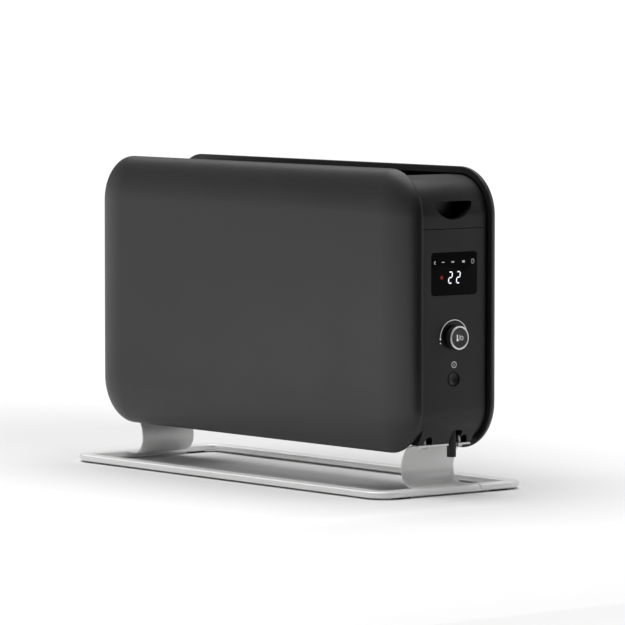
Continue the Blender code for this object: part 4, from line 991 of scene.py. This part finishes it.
class HEATER_OT_dial(bpy.types.Operator):
    """Builds the dial: a grooved body, a turned ring and a dark cap with its mark"""

    bl_idname = "heater.dial"
    bl_label = "Dial"

    def execute(self, context):
        centre = (0, 0, DIAL_Z)
        self.body(centre)
        radius = (RING_HIGH[1] - RING_LOW[1]) / 2 - RING_EASE
        inner = (DIAL_CAP_HIGH[1] - DIAL_CAP_LOW[1]) / 2 + GAP
        back, front = RING_LOW[0], RING_HIGH[0]
        profile = [(inner, back), (radius, back), (radius, front - 0.5 * MM), (radius - 0.9 * MM, front),
                   (inner + 0.5 * MM, front), (inner, front - 0.5 * MM)]
        profile = softened(profile, 0.35 * MM, 4, closed=True)
        ring = new_piece("dial_rim", [turned(profile, centre, steps=96, closed=True)])
        finish_piece(ring, "dial", "dial_silver", ["dial_ring"], angle=60)
        edge = inner - GAP
        dish = np.linspace(0, edge - 0.7 * MM, 9)
        face = DIAL_CAP_HIGH[0] - CAP_DISH * (1 - (dish / edge) ** 2)
        rim = softened([(dish[-1], face[-1]), (edge, DIAL_CAP_HIGH[0] - 0.1 * MM), (edge, DIAL_CAP_LOW[0])],
                       0.4 * MM)
        profile = np.concatenate([np.stack([dish, face], axis=1), rim[1:], [(0, DIAL_CAP_LOW[0])]])
        cap = new_piece("dial_face", [turned(profile, centre, "X", 72)])
        finish_piece(cap, "dial", "dial_black", ["dial_cap"], angle=50)
        self.mark()
        return {"FINISHED"}

    def body(self, centre):
        """Skirt whose radius dips a little at even grooves, and a blind bore for the shaft."""
        back, front = DIAL_LOW[0], DIAL_HIGH[0]
        grip = (DIAL_HIGH[1] - DIAL_LOW[1]) / 2
        bore_end = box("dial_shaft")[1][0] + GAP
        skirt = softened([(grip - 1.0 * MM, back), (grip, back + 0.8 * MM), (grip, front - 0.6 * MM),
                          (grip - 0.8 * MM, front)], 0.5 * MM)
        bore = [(0, bore_end), (SHAFT_BORE, bore_end), (SHAFT_BORE, back)]
        profile = np.concatenate([bore, skirt, [(0, front)]])
        steps = 6 * GROOVES
        groove = 0.5 - 0.5 * np.cos(GROOVES * np.arange(steps) * 2 * math.pi / steps)
        depth = GROOVE_DEPTH * (profile[:, :1] > grip - 0.3 * MM)
        height = np.repeat(profile[:, 1:], steps, axis=1)
        grid = revolved(profile[:, :1] - depth * groove ** 2, height, centre)
        body = new_piece("dial_grip", [surface(grid, wrap_columns=True)])
        finish_piece(body, "dial", "grip_plastic", ["dial_body"], angle=40)

    def mark(self):
        """A thermometer, a slash and a clock, printed on the cap."""
        x = DIAL_CAP_HIGH[0] - CAP_DISH
        high, origin = 0.14 * MM, (0, 0, DIAL_Z)
        stem, _ = rounded_path(1.8 * MM, 7.0 * MM, 0.85 * MM, arc=8, straight=2)
        bulb = circle((-3.9 * MM, -2.9 * MM), 1.6 * MM, 28)
        parts = [flat_mark(stem + np.array([-3.9, 1.0]) * MM, x, high, origin),
                 flat_mark(bulb, x, high, origin)]
        face = circle((3.5 * MM, -0.4 * MM), 2.6 * MM, 36)
        parts.append(flat_ring(face, 0.65 * MM, x, high, origin))
        for line, width in (([(3.5, 1.0), (3.5, -0.5), (4.5, -1.1)], 0.45), ([(-1.6, -4.2), (0.4, 4.2)], 0.5),
                            ([(-6.2, 3.2), (-5.4, 3.2)], 0.5), ([(-6.2, 1.4), (-5.4, 1.4)], 0.5)):
            parts.append(flat_line(np.array(line) * MM, width * MM, x, high, origin))
        print_piece("dial_mark", parts, "dial", "white_print_painted_glow")


PIVOT = np.array([SWITCH_HIGH[0] - 4.4 * MM, 0, SWITCH_Z])
PIN = 1.2 * MM
BUTTON_HALF, BUTTON_DISH = 3.2 * MM, 1.6 * MM
REST_TILT = math.radians(-7.0)


class HEATER_OT_rocker(bpy.types.Operator):
    """Builds the round rocker switch and its sleeve"""

    bl_idname = "heater.rocker"
    bl_label = "Rocker"

    def execute(self, context):
        front = SWITCH_HIGH[0]
        radius = (SWITCH_HIGH[1] - SWITCH_LOW[1]) / 2
        inner, back = radius - 1 * MM, SWITCH_LOW[0]
        profile = softened([(inner, front), (radius, front), (radius, back), (0.2 * MM, back),
                            (0.2 * MM, back + 1.5 * MM), (inner, back + 1.5 * MM)], 0.3 * MM, 3, closed=True)
        sleeve = new_piece("switch_sleeve", [turned(profile, (0, 0, SWITCH_Z), steps=72, closed=True)])
        carve(sleeve, self.cross_rod(PIN + GAP, radius + CAP_WALL))
        finish_piece(sleeve, "heater", "black_plastic", ["switch_case"])
        self.rocker(inner - 0.4 * MM, radius)
        return {"FINISHED"}

    def cross_rod(self, radius, reach):
        """Round bar along Y, on the button's pin."""
        points, faces = rod("Z", (0, 0, 0), radius, -reach, reach, 24)
        return points[:, [0, 2, 1]] + PIVOT, faces

    def rocker(self, ball, radius):
        """Ball-edged disc with a dished face, tilted about the pin through its middle."""
        half = BUTTON_HALF
        rim = math.sqrt(ball ** 2 - half ** 2)
        dish = np.linspace(0, rim, 14)
        face = half - BUTTON_DISH * (1 - (dish / rim) ** 2)
        height = np.linspace(half, -half, 16)[1:]
        edge = np.stack([np.sqrt(ball ** 2 - height ** 2), height], axis=1)
        profile = np.concatenate([np.stack([dish, face], axis=1), edge, [(0, -half)]])
        points, faces = turned(profile, (0, 0, 0), "X", 72)
        tilt = np.array(Matrix.Rotation(REST_TILT, 3, "Y"))
        rocker = new_piece("rocker_button", [(points @ tilt.T + PIVOT, faces)])
        carve(rocker, self.cross_rod(PIN, radius - GAP), operation="UNION")
        finish_piece(rocker, "rocker", "black_plastic", ["power_rocker"], angle=45)


SCALE_RADIUS, SCALE_START, SCALE_END = 23.6 * MM, 182, 28
SCALE_DOTS = ((-23.6, -1.0, 1.3), (-23.4, -6.4, 0.95))
POWER_RADIUS, POWER_RISE = 3.9 * MM, 19.4 * MM


class HEATER_OT_printing(bpy.types.Operator):
    """Prints the dial's scale and the power mark on the control face"""

    bl_idname = "heater.printing"
    bl_label = "Printing"

    def execute(self, context):
        high = looks().print_height
        middle = (0, 0, DIAL_Z - 0.6 * MM)
        scale = arc_points((0, 0), SCALE_RADIUS, SCALE_START, SCALE_END, 60)
        parts = [flat_line(scale, 1.0 * MM, FACE_X, high, middle)]
        for y, z, radius in SCALE_DOTS:
            dot = circle((y * MM, z * MM), radius * MM)
            parts.append(flat_mark(dot, FACE_X, high, middle))
        ring = circle((0, 0), POWER_RADIUS, 48)
        power = (0, 0, SWITCH_Z + POWER_RISE)
        parts.append(flat_ring(ring, 0.7 * MM, FACE_X, high, power))
        bar = np.array([(0, -1.7), (0, 1.7)]) * MM
        parts.append(flat_line(bar, 0.6 * MM, FACE_X, high, power))
        print_piece("face_printing", parts, "heater", "white_print_painted_glow")
        return {"FINISHED"}


# ---------------------------------------------------------------- floor frame, feet and pads

RAIL_LOW_Z, RAIL_TOP_Z = FRAME_LOW[2], FRAME_HIGH[2]
ARM_Z = FOOT_HIGH[2] - FOOT_SHEET / 2
FOOT_HALF_Y = FOOT_HIGH[1]
WAIST_X, WAIST_Z = 283.7 * MM, 31 * MM
TOP_RUN, LOW_RUN = 24 * MM, 19.5 * MM


def press_outline():
    """What a foot's wrapped end takes from a rail, seen from the side."""
    bend_x = FRAME_HIGH[0] - MID_X - FOOT_SHEET - RAIL_ROUND
    bend_z = RAIL_TOP_Z - FOOT_SHEET - RAIL_ROUND
    radius = RAIL_ROUND - GAP
    bend = arc_points((bend_x, bend_z), radius, 0, 90, 12)
    above = 2 * RAIL_TOP_Z
    inner, outer = bend_x - RAIL_WIDTH, bend_x + RAIL_WIDTH
    return np.concatenate([[(bend_x + radius, 0)], bend, [(inner, bend_z + radius), (inner, above),
                                                          (outer, above), (outer, 0)]])


class HEATER_OT_floor_frame(bpy.types.Operator):
    """Builds the flattened tube that the heater stands on, and its rubber pads"""

    bl_idname = "heater.floor_frame"
    bl_label = "Floor frame"

    def execute(self, context):
        section, _ = rounded_path(RAIL_WIDTH, RAIL_TOP_Z - RAIL_LOW_Z, RAIL_ROUND, arc=10, straight=5)
        size = FRAME_HIGH - FRAME_LOW
        path, normals = rounded_path(size[0], size[1], FRAME_CORNER, arc=24, straight=12)
        middle = (MID_X, (FRAME_LOW[1] + FRAME_HIGH[1]) / 2, (RAIL_LOW_Z + RAIL_TOP_Z) / 2)
        grid = ringed(path, normals, RAIL_WIDTH / 2 - section[:, 0], section[:, 1], "XY", middle)
        rail = new_piece("floor_rail", [surface(grid, wrap_rows=True, wrap_columns=True)])
        reach = FOOT_HALF_Y + GAP
        for side in (1, -1):
            outline = press_outline() * np.array([side, 1])
            carve(rail, prism(outline, -reach, reach, "XZ", (MID_X, 0, 0)))
        finish_piece(rail, "heater", "satin_silver", ["floor_frame"], angle=40)
        for number in range(1, 5):
            self.pad(number)
        return {"FINISHED"}

    def pad(self, number):
        """Round-cornered rubber block under a corner of the frame."""
        node = "rubber_pad_%d" % number
        low, high = box(node)
        size, middle = high - low, (high + low) / 2
        path, _ = rounded_path(size[0], size[1], 3 * MM, arc=8, straight=3)
        pad = new_piece("floor_pad_%d" % number,
                        [prism(path, low[2], high[2], "XY", (middle[0], middle[1], 0), 0.4 * MM)])
        finish_piece(pad, "heater", "black_rubber", [node])


class HEATER_OT_feet(bpy.types.Operator):
    """Builds the two bent sheet feet and their screws"""

    bl_idname = "heater.feet"
    bl_label = "Feet"

    def execute(self, context):
        for side, label in ((1, "right"), (-1, "left")):
            section, _ = rounded_path(2 * FOOT_HALF_Y, FOOT_SHEET, 0.9 * MM, arc=5, straight=24)
            line = self.centreline()
            normal = path_normals(line)
            flat = line[:, None, :] + normal[:, None, :] * section[None, :, 1:]
            across = np.broadcast_to(section[None, :, 0], flat.shape[:2])
            grid = np.stack([MID_X + side * flat[..., 0], across, flat[..., 1]], axis=-1)
            foot = new_piece("foot_sheet_" + label, [surface(grid, wrap_columns=True, capped=True)])
            if side > 0:
                carve(foot, on_side(1, TUBE_X - POCKET_HALF, SEAT_X + 5 * MM, TUBE_Y - POCKET_HALF,
                                    TUBE_Y + POCKET_HALF, ARM_Z - 5 * MM, ARM_Z + 5 * MM))
            finish_piece(foot, "heater", "satin_silver", ["foot_" + label], angle=45)
            for index, y in enumerate((-SCREW_Y, SCREW_Y), 1):
                self.screw("%s_%d" % (label, index), (MID_X + side * SCREW_X, y, 0))
        return {"FINISHED"}

    def centreline(self):
        """Flat arm, quarter oval in to the waist, quarter oval out, saddle and bend down."""
        saddle_z = RAIL_TOP_Z - FOOT_SHEET / 2
        end = FRAME_HIGH[0] - MID_X - FOOT_SHEET / 2
        bend = RAIL_ROUND + FOOT_SHEET / 2
        arm = np.array([(SEAT_X, ARM_Z), (SEAT_X - 4 * MM, ARM_Z)])
        top = arc_points((WAIST_X + TOP_RUN, WAIST_Z), (TOP_RUN, ARM_Z - WAIST_Z), 90, 180, 30)
        low = arc_points((WAIST_X + LOW_RUN, WAIST_Z), (LOW_RUN, WAIST_Z - saddle_z), 180, 270, 26)[1:]
        wrap = arc_points((end - bend, saddle_z - bend), bend, 90, 0, 12)
        return np.concatenate([arm, top, low, wrap, [(end, 3 * MM)]])

    def screw(self, label, place):
        """Button head with a cross recess, on a plain shank."""
        low, high = box("foot_screw_" + label)
        head = (high[0] - low[0]) / 2
        shoulder = ARM_Z - FOOT_SHEET / 2 - GAP
        profile = softened([(head, shoulder), (head, shoulder - 1.2 * MM), (head - 1.4 * MM, low[2]),
                            (0, low[2])], 0.8 * MM)
        profile = np.concatenate([[(0, high[2]), (2.5 * MM, high[2]), (2.5 * MM, shoulder)], profile])
        screw = new_piece("foot_bolt_" + label, [turned(profile, place, "Z", 40)])
        for size in ((2.6 * MM, 0.55 * MM), (0.55 * MM, 2.6 * MM)):
            corner = np.array([size[0], size[1], 1.6 * MM])
            centre = np.array([place[0], place[1], low[2]])
            carve(screw, block(centre - corner, centre + corner))
        finish_piece(screw, "heater", "zinc_steel", ["foot_screw_" + label])


TUBE_RADIUS, TUBE_BORE, TUBE_FLANGE = 6.1 * MM, 3.8 * MM, 3 * MM


class HEATER_OT_outlet(bpy.types.Operator):
    """Builds the rubber tube that guides the mains lead out of the housing"""

    bl_idname = "heater.outlet"
    bl_label = "Cord outlet"

    def execute(self, context):
        radius, bore = TUBE_RADIUS, TUBE_BORE
        flange = (OUTLET_HIGH[0] - OUTLET_LOW[0]) / 2
        low, high = OUTLET_LOW[2], OUTLET_HIGH[2]
        seat = high - TUBE_FLANGE
        profile = softened([(bore, high), (flange, high), (flange, seat), (radius, seat), (radius, low),
                            (bore, low)], 0.5 * MM, 4, closed=True)
        tube = new_piece("lead_tube", [turned(profile, (MID_X + TUBE_X, TUBE_Y, 0), "Z", 56, closed=True)])
        finish_piece(tube, "heater", "black_rubber", ["cord_outlet"])
        return {"FINISHED"}


SLOTS, SLOT_WIDTH, SLOT_LENGTH, SLOT_ROUND = 16, 12 * MM, 92 * MM, 5.9 * MM


class HEATER_OT_grille(bpy.types.Operator):
    """Builds the slotted sheet between the covers"""

    bl_idname = "heater.grille"
    bl_label = "Top grille"

    def execute(self, context):
        grille = new_piece("vent_sheet", [block(GRILLE_LOW, GRILLE_HIGH, 0.5 * MM)])
        pitch = (GRILLE_HIGH[0] - GRILLE_LOW[0]) / SLOTS
        path, _ = rounded_path(SLOT_WIDTH, SLOT_LENGTH, SLOT_ROUND, arc=8, straight=1)
        cuts = [prism(path, GRILLE_LOW[2] - 5 * MM, GRILLE_HIGH[2] + 5 * MM, "XY",
                      (GRILLE_LOW[0] + (index + 0.5) * pitch, 0, 0)) for index in range(SLOTS)]
        carve(grille, new_piece("slots", cuts))
        bevelled(grille, 0.3 * MM)
        finish_piece(grille, "heater", "core_paint", ["top_grille"])
        return {"FINISHED"}


INNER_FINISHES = {
    "radiator_fin": "core_paint",
    "core_bracket": "zinc_steel",
    "heating_element": "zinc_steel",
    "element_flange": "zinc_steel",
    "board_screw": "zinc_steel",
    "control_board": "circuit_board",
    "display_board": "circuit_board",
    "display_module": "black_plastic",
    "selector_case": "zinc_steel",
    "selector_plunger": "inner_plastic",
    "dial_shaft": "zinc_steel",
    "terminal_block": "inner_plastic",
    "thermal_cutout": "zinc_steel",
    "tilt_pendulum": "zinc_steel",
    "tilt_switch_case": "inner_plastic",
}


class HEATER_OT_inner_parts(bpy.types.Operator):
    """Gives the CAD pieces that stay their finishes"""

    bl_idname = "heater.inner_parts"
    bl_label = "Inner parts"

    def execute(self, context):
        for name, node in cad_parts.items():
            if node.hide_render:
                continue
            finish = next(f for start, f in INNER_FINISHES.items() if name.startswith(start))
            for slot in node.material_slots:
                slot.material = FINISHES[finish].material
        return {"FINISHED"}


# ---------------------------------------------------------------- studio

FLOOR_REACH = 250.0
SUN_ENERGY, SUN_SPREAD = 3.1, math.radians(75)
SUN_WAY = (0.24, 0.02, -1)
LIGHTS = (
    ("left_light", (-2.6, -0.9, 0.5), (0, 0, 0.2), (1.6, 0.9), 1.5),
    ("front_card", (-0.1, -1.0, 0.02), (-0.1, -1.0, 1), (1.7, 0.9), 8),
    ("back_light", (1.2, 2.6, 1.2), (0.2, 0, 0.2), (1.6, 1.0), 7),
    ("under_fill", (MID_X, 0.02, 0.058), (MID_X, 0.02, 0), (0.36, 0.06), 0.035),
)
CARDS = (
    ("dark_card", (1.3, -1.0, 0.01), (1.31, 0.12, 1.6)),
    ("border_card", (0.46, -0.46, 0.10), (0.465, -0.08, 0.46)),
)
WORLD_LIGHT = 0.22
CAMERA_AZIMUTH, CAMERA_ELEVATION = math.radians(51.1), math.radians(3.99)
CAMERA_DISTANCE, CAMERA_LENS = 6.73988, 283.78
TARGET_Z, TARGET_SHIFT = 0.22242, 0.02612


class HEATER_OT_studio(bpy.types.Operator):
    """Builds the pale floor, the soft lights and the camera"""

    bl_idname = "heater.studio"
    bl_label = "Studio"

    def execute(self, context):
        self.floor()
        self.world()
        self.sun()
        for settings in LIGHTS:
            self.light(*settings)
        for settings in CARDS:
            self.card(*settings)
        self.camera()
        scene = context.scene
        scene.view_settings.view_transform = "Standard"
        scene.view_settings.look = "None"
        return {"FINISHED"}

    def card(self, name, low, high):
        """Matt black card, unseen itself, that keeps light off the covers' right border."""
        card = new_piece(name, [block(low, high)])
        finish = Finish(name)
        grain = finish.group("grain", Scale=80.0, Spread=0.1)
        finish.link(finish.toned((0.003, 0.003, 0.003), grain["Tone"]), "Base Color")
        finish.set(Roughness=0.9)
        card.data.materials.append(finish.material)
        card.visible_camera = False
        card.visible_shadow = False

    def floor(self):
        """Wide flat disc, whose rings lie as far out as the square of the step.

        To the camera it is pale, with a painted shadow that makes it a little darker round the heater. To the
        light it bounces
            less on the near right, which keeps the covers' right border dark.
        """
        reach = FLOOR_REACH * np.linspace(0, 1, 24) ** 2
        points, faces = turned(np.stack([reach, np.zeros(24)], axis=1), (0, 0, 0), "Z", 64)
        floor = new_piece("studio_floor", [(points, faces)])
        if floor.data.polygons[0].normal.z < 0:
            floor.data.flip_normals()
        finish = Finish("studio_floor")
        grain = finish.group("grain", Scale=60.0, Spread=0.02)
        seen = finish.wire.node("LightPath").outputs["Is Camera Ray"]
        place = finish.wire.node("SeparateXYZ", Vector=finish.place)
        right = finish.wire.node("MapRange", i0=place.outputs["X"], i1=0.5, i2=0.85)
        near = finish.wire.node("MapRange", i0=place.outputs["Y"], i1=0.35, i2=0.0)
        dim = finish.wire.math("MULTIPLY", right.outputs[0], near.outputs[0])
        bounce = finish.mix(dim, (0.80, 0.80, 0.80, 1), (0.12, 0.12, 0.12, 1))
        # painted shadow: the floor's colour, as the camera sees it, darkens towards the heater in place of a
        # soft cast shadow
        spread = finish.wire.node("VectorMath", operation="MULTIPLY", i0=finish.place, i1=(1.0, 2.0, 0.0))
        reach = finish.wire.node("VectorMath", operation="DISTANCE", i0=spread.outputs[0],
                                 i1=(-0.35, 0.3, 0.0))
        far = finish.wire.node("MapRange", i0=reach.outputs["Value"], i1=0.4, i2=1.25)
        camera_colour_painted_shadow = finish.mix(far.outputs[0], (0.72, 0.72, 0.72, 1), (0.93, 0.93, 0.93, 1))
        finish.link(finish.mix(seen, bounce, camera_colour_painted_shadow), "Base Color")
        finish.link(finish.vary(grain["Patches"], 0.86, 0.92), "Roughness")
        floor.data.materials.append(finish.material)

    def world(self):
        """White to the camera, and dimmer as a source of light."""
        world = bpy.data.worlds.new("studio")
        bpy.context.scene.world = world
        world.use_nodes = True
        tree = world.node_tree
        back = next(n for n in tree.nodes if n.type == "BACKGROUND")
        path = tree.nodes.new("ShaderNodeLightPath")
        strength = tree.nodes.new("ShaderNodeMapRange")
        tree.links.new(path.outputs["Is Camera Ray"], strength.inputs[0])
        strength.inputs[3].default_value = WORLD_LIGHT
        strength.inputs[4].default_value = 1.0
        tree.links.new(strength.outputs[0], back.inputs["Strength"])
        back.inputs["Color"].default_value = (1, 1, 1, 1)

    def sun(self):
        """Broad soft light from above, a little to the left and the front."""
        data = bpy.data.lights.new("top_sun", "SUN")
        data.energy = SUN_ENERGY
        data.angle = SUN_SPREAD
        self.lamp(data, SUN_WAY)

    def light(self, name, place, aim, size, power):
        """Soft panel light that looks at a point and isn't seen itself."""
        data = bpy.data.lights.new(name, "AREA")
        data.shape = "RECTANGLE"
        data.size, data.size_y = size
        data.energy = power
        lamp = self.lamp(data, Vector(aim) - Vector(place))
        lamp.location = place
        lamp.visible_camera = False

    def lamp(self, data, way):
        """Lamp object that shines one way."""
        lamp = bpy.data.objects.new(data.name, data)
        bpy.context.scene.collection.objects.link(lamp)
        lamp.rotation_euler = Vector(way).to_track_quat("-Z", "Y").to_euler()
        return lamp

    def camera(self):
        """Long lens that looks down a little at the control end and the front."""
        across = np.array([math.cos(CAMERA_AZIMUTH), math.sin(CAMERA_AZIMUTH), 0])
        flat = math.cos(CAMERA_ELEVATION)
        back = np.array([across[1] * flat, -across[0] * flat, math.sin(CAMERA_ELEVATION)])
        data = bpy.data.cameras.new("studio_camera")
        data.sensor_width = 36
        data.lens = CAMERA_LENS
        data.clip_end = 2 * FLOOR_REACH
        camera = bpy.data.objects.new("studio_camera", data)
        bpy.context.scene.collection.objects.link(camera)
        camera.location = np.array([MID_X, 0, TARGET_Z]) + TARGET_SHIFT * across + CAMERA_DISTANCE * back
        camera.rotation_euler = Vector(-back).to_track_quat("-Z", "Y").to_euler()
        bpy.context.scene.camera = camera


# ---------------------------------------------------------------- panel and registration

OPERATORS = (HEATER_OT_covers, HEATER_OT_handles, HEATER_OT_housings, HEATER_OT_display, HEATER_OT_dial,
             HEATER_OT_rocker, HEATER_OT_printing, HEATER_OT_floor_frame, HEATER_OT_feet, HEATER_OT_outlet,
             HEATER_OT_grille, HEATER_OT_inner_parts, HEATER_OT_studio)


class HEATER_PT_panel(bpy.types.Panel):
    """Lists the heater's pieces and settings"""

    bl_idname = "HEATER_PT_panel"
    bl_label = "Radiator Heater"
    bl_space_type = "VIEW_3D"
    bl_region_type = "UI"
    bl_category = "Heater"

    def draw(self, context):
        column = self.layout.column(align=True)
        for name in HeaterLooks.__annotations__:
            column.prop(context.scene.heater_looks, name)
        for operator in OPERATORS:
            column.operator(operator.bl_idname)


CLASSES = (HeaterLooks, *OPERATORS, HEATER_PT_panel)


def register():
    for cls in CLASSES:
        bpy.utils.register_class(cls)
    bpy.types.Scene.heater_looks = bpy.props.PointerProperty(type=HeaterLooks)


def unregister():
    del bpy.types.Scene.heater_looks
    for cls in reversed(CLASSES):
        bpy.utils.unregister_class(cls)


def main():
    register()
    build_groups()
    build_finishes()
    for operator in OPERATORS:
        group, name = operator.bl_idname.split(".")
        getattr(getattr(bpy.ops, group), name)()


if __name__ == "__main__":
    main()
